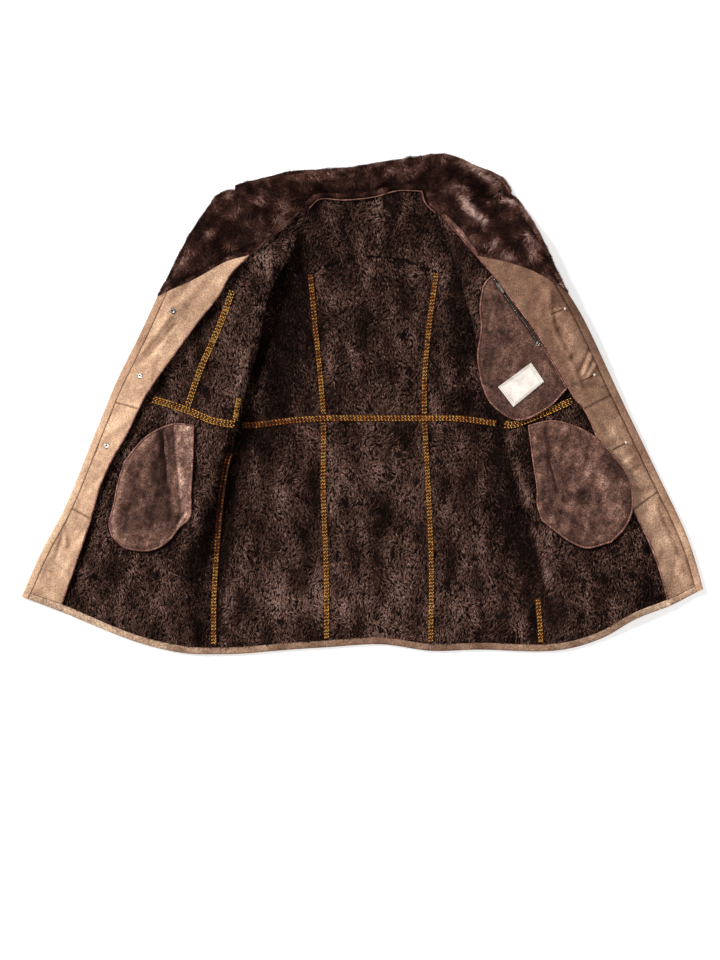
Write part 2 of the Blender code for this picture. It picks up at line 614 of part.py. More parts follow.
def build_front(side, group):
    outer, body, fold_end = OUTER_COLUMNS, CHEST_COLUMNS, FOLD_COLUMNS
    up, low = even(8), even(10)
    inner_column = -1 if side == "L" else 0
    under_facing_top = front_patch(
        side, outer, up,
        ("waist_front_", "waist_edge_", "facing_waist_"),
        ("lapel_low_", "band_top_", "lapel_in_"),
        ("band_in_", "waist_edge_", "band_top_"),
        ("facing_in_", "facing_waist_", "lapel_in_"),
    )
    chest = front_patch(
        side, body, up,
        ("waist_front_", "facing_waist_", "dart_waist_"),
        ("shoulder_", "lapel_in_", "dart_top_"),
        ("facing_in_", "facing_waist_", "lapel_in_"),
        ("dart_", "dart_waist_", "dart_top_"),
    )
    parts = (under_facing_top, chest) if side == "L" else (chest, under_facing_top)
    joined = np.concatenate([parts[0], parts[1][:, 1:]], axis=1)
    panel("front_upper_" + side, joined, front_height, group)

    armhole = front_patch(
        side, fold_end, up,
        ("waist_front_", "dart_waist_", "waist_"),
        ("front_yoke_", "dart_top_", "front_yoke_"),
        ("dart_", "dart_waist_", "dart_top_"),
        ("fold_", "waist_", "front_yoke_"),
    )
    panel("front_side_" + side, armhole, front_height, group, inner_column)

    columns = FOLD_COLUMNS
    outside = stitched((even(1), "shoulder_" + side, "dart_top_" + side, "lapel_in_" + side),
                       (even(5), "roll_" + side, "lapel_in_" + side, "roll_top_" + side))
    inside = stitched((even(1), "fold_" + side, "front_yoke_" + side, "back_yoke_" + side),
                      (even(5), "fold_" + side, "back_yoke_" + side, "neck_" + side))
    yoke = coons(
        run(columns, ("front_yoke_" + side, "dart_top_" + side, "front_yoke_" + side)),
        run(columns, ("neck_gap_" + side, "roll_top_" + side, "neck_" + side)),
        outside,
        inside,
    )
    panel("front_yoke_" + side, mirrored(side, yoke), front_height, group, inner_column)

    waist_strip = front_patch(
        side, outer, even(1),
        ("facing_join_", "band_join_", "facing_join_"),
        ("waist_front_", "waist_edge_", "facing_waist_"),
        ("band_in_", "band_join_", "waist_edge_"),
        ("facing_in_", "facing_join_", "facing_waist_"),
    )
    middle_strip = front_patch(
        side, outer, even(5),
        ("facing_skirt_", "band_skirt_", "facing_skirt_"),
        ("facing_join_", "band_join_", "facing_join_"),
        ("band_in_", "band_skirt_", "band_join_"),
        ("facing_in_", "facing_skirt_", "facing_join_"),
    )
    hem_strip = front_patch(
        side, outer, even(4),
        ("hem_in", "band_hem_", "facing_hem_"),
        ("facing_skirt_", "band_skirt_", "facing_skirt_"),
        ("band_in_", "band_hem_", "band_skirt_"),
        ("facing_in_", "facing_hem_", "facing_skirt_"),
    )
    strip = np.concatenate([hem_strip, middle_strip[1:], waist_strip[1:]])
    inner = -1 if side == "L" else 0
    meet = strip[:, inner]
    top_edge = stitched((body, "waist_front_" + side, "facing_waist_" + side, "dart_waist_" + side),
                        (fold_end, "waist_front_" + side, "dart_waist_" + side, "waist_" + side))
    hem_edge = run(SKIRT_COLUMNS, ("hem_in", "facing_hem_" + side, "side_hem_" + side))
    fold_edge = run(low, ("side_" + side, "side_hem_" + side, "waist_" + side))
    skirt = coons(hem_edge, top_edge, meet, fold_edge)
    skirt = mirrored(side, skirt)
    parts = (strip, skirt) if side == "L" else (skirt, strip)
    joined = np.concatenate([parts[0], parts[1][:, 1:]], axis=1)
    panel("front_lower_" + side, joined, front_height, group, inner_column)
    return {
        "upper": np.concatenate([waist_strip, under_facing_top[1:]]),
        "middle": middle_strip,
        "lower": hem_strip,
    }


def build_facings(side, strips, group):
    colour = "tan_suede" if side == "L" else "brown_suede"
    for place, grid in strips.items():
        grid = inset(grid)
        top = heights(facing_height, grid)
        slab(f"facing_{place}_{side}", grid, top, top - SUEDE, group, colour)


def build_edge_band(side, group):
    """The front's own hide, turned in along its edge from the lapel to the hem."""
    count = even(22)
    outside = run(count, ("edge_" + side, "corner_" + side, "lapel_tip_" + side))
    inside = run(count, ("hem_step_" + side, "hem_in_" + side, "band_hem_" + side),
                 ("band_in_" + side, "band_hem_" + side, "band_top_" + side))
    middle = (outside + inside) / 2
    lines = (outside, middle, inside) if side == "L" else (inside, middle, outside)
    grid = inset(np.stack(lines, axis=1))
    top = heights(front_height, grid) + FACING_STAND + SUEDE
    rim = 0 if side == "L" else -1
    top[:, rim] -= SHEARLING - EDGE_HEIGHT + FACING_STAND
    under = np.maximum(top - SHEARLING, 0.0)
    slab("edge_band_" + side, grid, top, under, group, "tan_suede" if side == "L" else "brown_suede")


def build_hem(group):
    """The hide turned up along the hem, in the five lengths between its seams."""
    front = {side: stitched((OUTER_COLUMNS, "hem_in", "band_hem_" + side, "facing_hem_" + side),
                            (SKIRT_COLUMNS, "hem_in", "facing_hem_" + side, "side_hem_" + side))
             for side in "LR"}
    lengths = {
        "hem_front_L": (front["L"], "hem_in_L", "hem_side_L"),
        "hem_side_L": (run(even(4), ("hem_in", "side_hem_L", "panel_hem_L")), "hem_side_L", "hem_panel_L"),
        "hem_middle": (run(even(6), ("hem_in", "panel_hem_L", "panel_hem_R")), "hem_panel_L",
                       "hem_panel_R"),
        "hem_side_R": (run(even(4), ("hem_in", "panel_hem_R", "side_hem_R")), "hem_panel_R", "hem_side_R"),
        "hem_front_R": (front["R"][::-1], "hem_side_R", "hem_in_R"),
    }
    for name, (inside, start, end) in lengths.items():
        reach = np.concatenate([[0], np.cumsum(np.linalg.norm(np.diff(inside, axis=0), axis=1))])
        outside = run(reach / reach[-1], ("hem_out", start, end))
        grid = inset(np.stack([outside, (outside + inside) / 2, inside]))
        surface = front_height if "front" in name else back_height
        top = heights(surface, grid) - SHEARLING + HEM_HEIGHT
        top[0] -= HEM_HEIGHT - EDGE_HEIGHT + 1.0
        slab(name, grid, top, np.maximum(top - HEM_HEIGHT - 1.0, 0.0), group, "tan_suede")


# ---- collar and lapels ----------------------------------------------------------------------

def plush_piece(name, grid, surface, group):
    """A thick piece of plush, whose pile thins towards its rim."""
    grid = inset(grid)
    base = np.maximum(heights(surface, grid) - SHEARLING, 0.0)
    top = base + PLUSH
    for place in rim_of(*grid.shape[:2]):
        top[place] -= 0.4 * PLUSH
    slab(name, grid, top, base, group, "plush")


def build_collar(group):
    grid = coons(
        stitched((even(5), "gorge_L", "notch_L", "neck_L"),
                 (NECK_CELLS, "neck", "neck_L", "neck_top_R"),
                 (even(6), "gorge_R", "neck_top_R", "notch_R")),
        run(even(21), ("collar_top", "collar_end_L", "collar_end_R")),
        run(even(4), ("collar_left", "notch_L", "collar_end_L")),
        run(even(4), ("collar_right", "notch_R", "collar_end_R")),
    )
    plush_piece("collar", grid, back_height, group)


def build_lapels(group):
    left = coons(
        stitched((even(1), "lapel_low_L", "lapel_tip_L", "band_top_L"),
                 (OUTER_COLUMNS, "lapel_low_L", "band_top_L", "lapel_in_L")),
        stitched((even(1), "gorge_L", "lapel_top_L", "notch_L"),
                 (even(5), "gorge_L", "notch_L", "neck_L")),
        run(even(6), ("lapel_out_L", "lapel_tip_L", "lapel_top_L")),
        stitched((even(5), "roll_L", "lapel_in_L", "roll_top_L"),
                 (even(1), "neck_gap_L", "roll_top_L", "neck_L")),
    )
    plush_piece("lapel_L", left, front_height, group)
    right = coons(
        stitched((OUTER_COLUMNS, "lapel_low_R", "lapel_in_R", "band_top_R"),
                 (even(1), "lapel_low_R", "band_top_R", "lapel_tip_R")),
        run(even(6), ("gorge_R", "neck_top_R", "notch_R")),
        stitched((even(5), "roll_R", "lapel_in_R", "roll_top_R"),
                 (even(1), "neck_gap_R", "roll_top_R", "neck_R"),
                 (NECK_SIDE_CELLS, "neck_side", "neck_R", "neck_top_R")),
        run(even(10), ("lapel_out_R", "lapel_tip_R", "notch_R")),
    )
    plush_piece("lapel_R", right, front_height, group)


def build_binding(group):
    """Thin leather piping round the back of the neck."""
    seam = run(even(26), ("neck", "neck_L", "neck_top_R"), ("neck_side", "neck_top_R", "neck_R"))
    ahead = np.gradient(seam, axis=0)
    ahead /= np.linalg.norm(ahead, axis=1)[:, None]
    line = seam + np.stack([ahead[:, 1], -ahead[:, 0]], axis=1) * (BINDING_RADIUS + 1.0)
    high = over(back_height, line[:, 0], line[:, 1], 6.0) + BINDING_RADIUS + LAYER_GAP
    curve = bpy.data.curves.new("neck_binding", "CURVE")
    curve.dimensions = "3D"
    curve.bevel_depth = BINDING_RADIUS * MM
    curve.bevel_resolution = 1
    curve.use_fill_caps = True
    path = curve.splines.new("POLY")
    path.points.add(len(line) - 1)
    for spot, (x, y), z in zip(path.points, line, high):
        spot.co = ((x - ORIGIN_X) * MM, (y - ORIGIN_Y) * MM, z * MM, 1.0)
    finish("neck_binding", curve, group, "binding")


# ---- pockets and label ----------------------------------------------------------------------

def bag_grid(name, columns, rows):
    sides = {side: spline(points) for side, points in BAGS[name].items()}
    return coons(spaced(sides["bottom"], even(columns)), spaced(sides["top"], even(columns)),
                 spaced(sides["left"], even(rows)), spaced(sides["right"], even(rows)))


def facing_step(x, y):
    """Share of the facing's height that a pocket bag climbs as it passes onto the facing."""
    inside = spline([point(row) for row in LINES["facing_in_R"]], 8)
    order = np.argsort(inside[:, 1])
    edge = np.interp(y, inside[order, 1], inside[order, 0])
    return smooth((x - edge + 26.0) / 16.0)


def build_pockets(group):
    grid = bag_grid("pocket_bag_L", 6, 9)
    base = over(front_height, grid[..., 0], grid[..., 1], 9.0) + LAYER_GAP
    layer("pocket_bag_L", grid, base, BAG, group, "bag_suede", 1.5)

    grid = bag_grid("pocket_bag_R", 7, 9)
    x, y = grid[..., 0], grid[..., 1]
    climb = (FACING_STAND + SUEDE + FACING_RISE + 1.0) * facing_step(x, y)
    base = over(front_height, x, y, 9.0) + LAYER_GAP + climb
    layer("pocket_bag_R", grid, base, BAG, group, "bag_suede", 1.5)

    grid = bag_grid("inner_pocket", 6, 10)
    base = heights(inner_pocket_height, grid) - BAG
    layer("inner_pocket", grid, base, BAG, group, "bag_suede")

    grid = bag_grid("label", 3, 2)
    base = over(inner_pocket_height, grid[..., 0], grid[..., 1], 4.0) + LAYER_GAP
    layer("label", grid, base, LABEL, group, "label_cloth")


def inner_pocket_height(x, y):
    """Top of the inner pocket, whose lower corner lies on the waist tape."""
    climb = (TAPE + LAYER_GAP + 0.5) * smooth((40.0 - y) / 35.0)
    return over(front_height, x, y, 9.0) + LAYER_GAP + climb + BAG


# ---- braided tapes over the seams -----------------------------------------------------------

def tape(name, surface, line, width, group, reach=8.0):
    """A flat braid centred on a line of points."""
    ahead = np.gradient(line, axis=0)
    ahead /= np.linalg.norm(ahead, axis=1)[:, None]
    beside = np.stack([-ahead[:, 1], ahead[:, 0]], axis=1) * width / 2
    grid = np.stack([line - beside, line + beside])
    base = over(surface, grid[..., 0], grid[..., 1], reach) + LAYER_GAP
    layer(name, grid, base, TAPE, group, "gold_tape")


def trimmed(line, start, end):
    """A line shortened by these lengths at its ends, with the same number of points."""
    fine = spaced(line, np.linspace(0, 1, 200))
    lengths = np.linalg.norm(np.diff(fine, axis=0), axis=1)
    total = lengths.sum()
    return spaced(fine, np.linspace(start / total, 1 - end / total, len(line)))


def build_tapes(group):
    clear = WAIST_TAPE_WIDTH / 2 + 1.0
    # name: surface, line, first junction, last junction, cells, trim at the start and at the end
    rows = (
        ("tape_waist_front_L", front_height, "waist_front_L", "facing_waist_L", "waist_L", 8, 14, 7),
        ("tape_waist_back", back_height, "waist_back", "waist_L", "waist_R", 20, 5, 6),
        ("tape_waist_front_R", front_height, "waist_front_R", "waist_R", "facing_waist_R", 7, 7, 5),
        ("tape_back_upper_L", back_height, "panel_up_L", "panel_top_L", "panel_waist_L", 8, 3, clear),
        ("tape_back_upper_R", back_height, "panel_up_R", "panel_top_R", "panel_waist_R", 8, 3, clear),
        ("tape_back_lower_L", back_height, "panel_low_L", "panel_waist_L", "panel_hem_L", 10, clear, 3),
        ("tape_back_lower_R", back_height, "panel_low_R", "panel_waist_R", "panel_hem_R", 10, clear, 3),
        ("tape_front_L", front_height, "dart_L", "dart_top_L", "dart_waist_L", 8, 3, clear),
    )
    for name, surface, line, start, end, cells, before, after in rows:
        points = trimmed(run(even(cells), (line, start, end)), before, after)
        tape(name, surface, points, WAIST_TAPE_WIDTH if "waist" in name else TAPE_WIDTH, group)
    for side, visible in (("L", 0.13), ("R", 0.80)):
        seam = run(np.linspace(visible, 1, 9), ("side_" + side, "waist_" + side, "side_hem_" + side))
        tape("tape_side_" + side, side_seam_height, trimmed(seam, 0, 3), TAPE_WIDTH, group, 4.5)
    stub = run(np.linspace(0, 0.2, 4), ("fold_L", "waist_L", "front_yoke_L"))
    shift = np.array([-7.5, 0.0])
    tape("tape_armhole_L", front_height, trimmed(stub, clear + 1, 0) + shift, TAPE_WIDTH - 2, group)


def side_seam_height(x, y):
    return np.maximum(back_height(x, y), front_height(x, y))


# ---- buttons, buttonholes and zip -----------------------------------------------------------

def turned(bm, radius, low, high, bevel=0.0):
    """A small turned disc round the local Z axis, from low to high, with one bevelled rim."""
    made = bmesh.ops.create_cone(bm, cap_ends=True, segments=20, radius1=radius * MM,
                                 radius2=(radius - bevel) * MM, depth=(high - low) * MM)
    bmesh.ops.translate(bm, verts=made["verts"], vec=(0, 0, (low + high) / 2 * MM))


def seat(piece, carrier, x, y, radius, from_above):
    """Sets a disc on the top or the underside of its carrier, square to the face there."""
    start = (x, y, 1.0 if from_above else -1.0)
    _, place, normal, _ = carrier.ray_cast(start, (0, 0, -start[2]))
    arm = normal.orthogonal().normalized() * radius * MM
    step = Quaternion(normal, math.pi / 8)
    highest = 0.0
    for _ in range(16):
        found, spot, _, _ = carrier.ray_cast(place + arm + normal * 0.03, -normal)
        if found:
            highest = max(highest, (spot - place).dot(normal))
        arm.rotate(step)
    piece.location = place + normal * (highest + SEAT_GAP * MM)
    piece.rotation_mode = "QUATERNION"
    piece.rotation_quaternion = normal.to_track_quat("Z", "Y")


def build_buttons(group, helpers):
    """Press studs: a head on the hide under the front, and a ring rivet on the facing."""
    for i, (x, y) in enumerate(BUTTONS, start=1):
        facing = bpy.data.objects["facing_middle_L" if i == 3 else "facing_upper_L"]
        front = bpy.data.objects["front_lower_L" if i == 3 else "front_upper_L"]
        bpy.context.view_layer.update()
        x, y = (x - ORIGIN_X) * MM, (y - ORIGIN_Y) * MM
        bm = bmesh.new()
        turned(bm, BUTTON_RADIUS, 0.0, BUTTON_HEIGHT, 2.5)
        button = mesh_object(f"button_{i}", bm, group, "nickel")
        seat(button, front, x, y, BUTTON_RADIUS, False)
        bm = bmesh.new()
        turned(bm, RIVET_RADIUS, 0.0, RIVET_HEIGHT, 0.5)
        rivet = mesh_object(f"rivet_{i}", bm, group, "nickel")
        seat(rivet, facing, x, y, RIVET_RADIUS, True)
        bm = bmesh.new()
        turned(bm, RIVET_BORE, RIVET_HEIGHT - 0.9, RIVET_HEIGHT + 3.0)
        bore = mesh_object(f"rivet_bore_{i}", bm, helpers)
        bore.parent = rivet
        cut = rivet.modifiers.new("bore", "BOOLEAN")
        cut.operation = "DIFFERENCE"
        cut.object = bore


def cut_buttonholes(helpers):
    """Three slits through the right facing and the front under it."""
    cutters = []
    for i, (start, end) in enumerate(BUTTONHOLES, start=1):
        start, end = np.array(start, float), np.array(end, float)
        middle, way = (start + end) / 2, end - start
        bm = bmesh.new()
        bmesh.ops.create_cube(bm, size=1.0)
        bmesh.ops.scale(bm, verts=bm.verts, vec=(np.linalg.norm(way) * MM, BUTTONHOLE_WIDTH * MM, 0.2))
        mesh = bpy.data.meshes.new(f"buttonhole_cutter_{i}")
        bm.to_mesh(mesh)
        bm.free()
        cutter = bpy.data.objects.new(mesh.name, mesh)
        cutter.location = ((middle[0] - ORIGIN_X) * MM, (middle[1] - ORIGIN_Y) * MM, 0)
        cutter.rotation_euler = (0, 0, math.atan2(way[1], way[0]))
        cutter.hide_render = True
        cutter.display_type = "WIRE"
        helpers.objects.link(cutter)
        cutters.append(cutter)
    for name, holes in (("facing_upper_R", (0, 1)), ("facing_middle_R", (2,)),
                        ("front_upper_R", (0, 1)), ("front_lower_R", (2,))):
        for i in holes:
            cut = bpy.data.objects[name].modifiers.new(f"buttonhole_{i + 1}", "BOOLEAN")
            cut.operation = "DIFFERENCE"
            cut.object = cutters[i]


def box(bm, low, high):
    made = bmesh.ops.create_cube(bm, size=1.0)["verts"]
    for vert in made:
        vert.co = [(a if c < 0 else b) * MM for a, b, c in zip(low, high, vert.co)]
    return made


def mesh_object(name, bm, group, colour=None):
    mesh = bpy.data.meshes.new(name)
    bmesh.ops.recalc_face_normals(bm, faces=bm.faces)
    bm.to_mesh(mesh)
    bm.free()
    if colour:
        return finish(name, mesh, group, colour)
    made = bpy.data.objects.new(name, mesh)
    made.hide_render = True
    made.display_type = "WIRE"
    group.objects.link(made)
    return made


def build_zip(group, helpers):
    line = spaced(spline(ZIP_LINE), even(8))
    ahead = np.gradient(line, axis=0)
    ahead /= np.linalg.norm(ahead, axis=1)[:, None]
    beside = np.stack([-ahead[:, 1], ahead[:, 0]], axis=1) * ZIP_TAPE_WIDTH / 2
    grid = np.stack([line - beside, line + beside])
    base = over(inner_pocket_height, grid[..., 0], grid[..., 1], 3.0) + LAYER_GAP
    layer("zip_tape", grid, base, ZIP_TAPE, group, "binding")

    way = line[2] - line[1]
    turn = math.atan2(way[1], way[0])
    at = np.array([[float(SLIDER_AT[0])]]), np.array([[float(SLIDER_AT[1])]])
    floor = float(over(inner_pocket_height, at[0], at[1], 9.0)[0, 0]) + 2 * LAYER_GAP + ZIP_TAPE
    mount = bpy.data.objects.new("zip_mount", None)
    mount.location = ((SLIDER_AT[0] - ORIGIN_X) * MM, (SLIDER_AT[1] - ORIGIN_Y) * MM, floor * MM)
    mount.rotation_euler = (0, 0, turn)
    helpers.objects.link(mount)

    half, wide, high = SLIDER["length"] / 2, SLIDER["width"] / 2, SLIDER["height"]
    bm = bmesh.new()
    box(bm, (-half, -wide, 0), (half, wide, high))
    bmesh.ops.bevel(bm, geom=list(bm.edges), offset=0.6 * MM, segments=1, affect="EDGES")
    slider = mesh_object("zip_slider", bm, group, "nickel")
    slider.parent = mount

    forward, up = AXLE["forward"], AXLE["up"]
    inside = PULL["root"] / 2 + 0.4
    bm = bmesh.new()
    for sign in (-1, 1):
        low, far = sorted((sign * inside, sign * (inside + LUG["thick"])))
        box(bm, (forward - LUG["length"] / 2, low, high - 0.5),
            (forward + LUG["length"] / 2, far, high + LUG["height"]))
    lugs = mesh_object("zip_lugs", bm, helpers)
    lugs.parent = mount
    bm = bmesh.new()
    bmesh.ops.create_cone(bm, cap_ends=True, segments=12, radius1=AXLE["radius"] * MM,
                          radius2=AXLE["radius"] * MM, depth=(2 * inside + LUG["thick"]) * MM)
    axle = mesh_object("zip_axle", bm, helpers)
    axle.parent = mount
    axle.location = (forward * MM, 0, (high + up) * MM)
    axle.rotation_euler = (math.pi / 2, 0, 0)
    for piece in (lugs, axle):
        join = slider.modifiers.new(piece.name, "BOOLEAN")
        join.operation = "UNION"
        join.object = piece

    hinge = bpy.data.objects.new("pull_hinge", None)
    hinge.parent = mount
    hinge.location = axle.location
    hinge.rotation_euler = (0, PULL_DROOP, 0)
    helpers.objects.link(hinge)
    root, broad, thick = PULL["root"] / 2 - 0.15, PULL["width"] / 2, PULL["thick"] / 2
    bm = bmesh.new()
    box(bm, (0.6, -root, 0.1 - thick), (5.0, root, thick - 0.1))
    neck = mesh_object("pull_neck", bm, helpers)
    bm = bmesh.new()
    box(bm, (4.5, -broad, -thick), (PULL["length"], broad, thick))
    bmesh.ops.bevel(bm, geom=list(bm.edges), offset=0.35 * MM, segments=1, affect="EDGES")
    blade = mesh_object("pull_blade", bm, helpers)
    bm = bmesh.new()
    bmesh.ops.create_cone(bm, cap_ends=True, segments=16, radius1=PULL["bore"] * MM,
                          radius2=PULL["bore"] * MM, depth=4 * PULL["root"] * MM)
    bore = mesh_object("pull_bore", bm, helpers)
    bore.rotation_euler = (math.pi / 2, 0, 0)
    bm = bmesh.new()
    bmesh.ops.create_cone(bm, cap_ends=True, segments=16, radius1=PULL["eye"] * MM,
                          radius2=PULL["eye"] * MM, depth=PULL["root"] * MM)
    bmesh.ops.rotate(bm, verts=bm.verts, matrix=Matrix.Rotation(math.pi / 2, 3, "X"))
    pull = mesh_object("zip_pull", bm, group, "nickel")
    for piece in (neck, blade, bore, pull):
        piece.parent = hinge
    for piece, operation in ((neck, "UNION"), (blade, "UNION"), (bore, "DIFFERENCE")):
        change = pull.modifiers.new(piece.name, "BOOLEAN")
        change.operation = operation
        change.object = piece


# ---- sleeves --------------------------------------------------------------------------------

SLEEVE_COLUMNS = np.array([-1.0, -0.9, -0.62, 0.0, 0.62, 0.9, 1.0])


def build_sleeve(side, group):
    """The two halves of a sleeve folded flat under its front, one lying on the other."""
    start = np.array(SLEEVES[side]["shoulder"], float)
    end = np.array(SLEEVES[side]["cuff"], float)
    ahead = (start - end) / np.linalg.norm(start - end)
    beside = np.array([ahead[1], -ahead[0]])
    along = np.linspace(1, 0, 10)[:, None]
    half = sleeve_half_width(along)
    high = sleeve_height(side, along)
    middle = start + (end - start) * along
    grid = middle[:, None, :] + (half * SLEEVE_COLUMNS)[..., None] * beside
    profile = 0.35 + 0.65 * (1 - np.abs(SLEEVE_COLUMNS) ** 3) ** 0.6
    top = high * profile
    split = top / 2
    colour = "tan_suede" if side == "L" else "brown_suede"
    slab("sleeve_under_" + side, grid, split - LAYER_GAP / 2, np.zeros_like(top), group, colour)
    slab("sleeve_top_" + side, grid, top, split + LAYER_GAP / 2, group, colour)


def add_short_lines():
    """Short joins between two junctions, used as the ends of narrow patches."""
    for side in "LR":
        LINES["neck_gap_" + side] = ["roll_top_" + side, "neck_" + side]
        LINES["hem_step_" + side] = ["hem_in_" + side, "band_hem_" + side]


def main():
    clear_scene()
    group, helpers = collection(NAME), collection(NAME + "_helpers")
    add_short_lines()
    build_back(group)
    for side in "LR":
        strips = build_front(side, group)
        build_facings(side, strips, group)
        build_edge_band(side, group)
        build_sleeve(side, group)
    build_hem(group)
    build_collar(group)
    build_lapels(group)
    build_binding(group)
    build_pockets(group)
    build_tapes(group)
    build_buttons(group, helpers)
    cut_buttonholes(helpers)
    build_zip(group, helpers)


main()
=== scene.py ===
"""Looks of the shearling coat: fine cloth over each solid, fur and plush, braid, stitches and light.

Lengths are in millimetres on the laid-out coat, x to the right and y up in the photograph; place()
takes them to metres in the shared frame. The tables down to ZIP_LINE are those that the solids are
made from.
"""

import math

import bmesh
import bpy
import numpy as np
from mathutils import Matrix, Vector
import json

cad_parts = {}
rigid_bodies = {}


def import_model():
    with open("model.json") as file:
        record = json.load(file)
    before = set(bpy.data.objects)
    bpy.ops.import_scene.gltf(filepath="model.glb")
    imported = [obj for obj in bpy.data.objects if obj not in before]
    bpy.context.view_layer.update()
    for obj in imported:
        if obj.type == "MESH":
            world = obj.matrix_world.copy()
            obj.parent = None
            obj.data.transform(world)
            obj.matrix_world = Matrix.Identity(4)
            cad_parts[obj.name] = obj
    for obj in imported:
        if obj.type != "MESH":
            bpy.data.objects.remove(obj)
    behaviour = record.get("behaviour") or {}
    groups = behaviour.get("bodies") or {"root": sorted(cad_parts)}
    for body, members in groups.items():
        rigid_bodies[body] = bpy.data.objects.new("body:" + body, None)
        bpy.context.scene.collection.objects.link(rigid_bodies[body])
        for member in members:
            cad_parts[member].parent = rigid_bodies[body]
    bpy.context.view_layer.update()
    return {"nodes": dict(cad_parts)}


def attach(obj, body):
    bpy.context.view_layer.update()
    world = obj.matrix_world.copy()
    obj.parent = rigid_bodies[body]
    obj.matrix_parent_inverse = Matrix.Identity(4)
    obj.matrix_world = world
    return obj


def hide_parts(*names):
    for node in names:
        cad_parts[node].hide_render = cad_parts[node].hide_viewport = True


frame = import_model()

MM = 0.001
BODY = "coat"

# Thicknesses of the layers
SHEARLING = 9.0
PLUSH = 17.0
SUEDE = 1.6
BAG = 2.0
TAPE = 1.6
LABEL = 0.8
HEM_HEIGHT = 8.0
# Widths of the narrow pieces
TAPE_WIDTH = 11.0
WAIST_TAPE_WIDTH = 12.5
BINDING_RADIUS = 1.8
# Clearances, and how far the top of the fur may rise before the hide under it leaves the floor
SEAM_GAP = 0.2
LAYER_GAP = 0.5
PILE_GIVE = 1.0
# How the facings stand off the fur, and rise at their inner edges except near the hem
FACING_STAND = 1.0
FACING_RISE = 7.0
FACING_RISE_WIDTH = 16.0
FOOT_CLEAR = 3.0
FOOT_TAPER = 42.0
# How the front swells round each press button
BUTTON_RISE = 7.5
BUTTON_RISE_WIDTH = 42.0
# Size of the cells of the fine cloth, and of the steps that a slope is measured over
CELL = 6.5
SLOPE_STEP = 1.5
# Centre of the laid-out box, which becomes the origin
ORIGIN_X = 0.5
ORIGIN_Y = -1.84

# Where seams meet or end: name, then x and y
JUNCTIONS = {
    "neck_L": (-92, 334), "neck_R": (127, 326), "neck_top_R": (104, 364),
    "roll_top_L": (-107, 325), "roll_top_R": (136, 320),
    "notch_L": (-216, 363), "notch_R": (252, 356),
    "collar_end_L": (-216, 371), "collar_end_R": (248, 374),
    "lapel_top_L": (-247, 355), "lapel_tip_L": (-348, 181), "lapel_tip_R": (350, 188),
    "lapel_in_L": (-192, 251), "lapel_in_R": (194, 251),
    "back_yoke_L": (-135, 234), "back_yoke_R": (162, 230),
    "front_yoke_L": (-157, 191), "front_yoke_R": (175, 190),
    "panel_top_L": (-88, 223), "panel_top_R": (127, 225),
    "panel_waist_L": (-65, -25), "panel_waist_R": (106, -25),
    "panel_hem_L": (-60, -403), "panel_hem_R": (117, -409),
    "dart_top_L": (-219, 194), "dart_top_R": (222, 199),
    "dart_waist_L": (-298, -11), "dart_waist_R": (306, -18),
    "waist_L": (-209, -37), "waist_R": (235, -35),
    "facing_waist_L": (-369, 10), "facing_waist_R": (362, 7),
    "waist_edge_L": (-412, 18), "waist_edge_R": (414, 33),
    "band_top_L": (-330, 190), "band_top_R": (327, 204),
    "band_join_L": (-419, 2), "band_join_R": (423, 15),
    "band_skirt_L": (-493, -179), "band_skirt_R": (503, -150),
    "facing_join_L": (-379, -9), "facing_join_R": (377, -9),
    "facing_skirt_L": (-461, -196), "facing_skirt_R": (461, -180),
    "band_hem_L": (-563, -323), "band_hem_R": (566, -311),
    "facing_hem_L": (-511, -341), "facing_hem_R": (520, -333),
    "corner_L": (-580, -329), "corner_R": (581, -316),
    "side_hem_L": (-252, -415), "side_hem_R": (305, -410),
    "hem_in_L": (-568, -333), "hem_in_R": (570, -321),
    "hem_side_L": (-252, -427), "hem_side_R": (305, -422),
    "hem_panel_L": (-60, -415), "hem_panel_R": (117, -421),
}

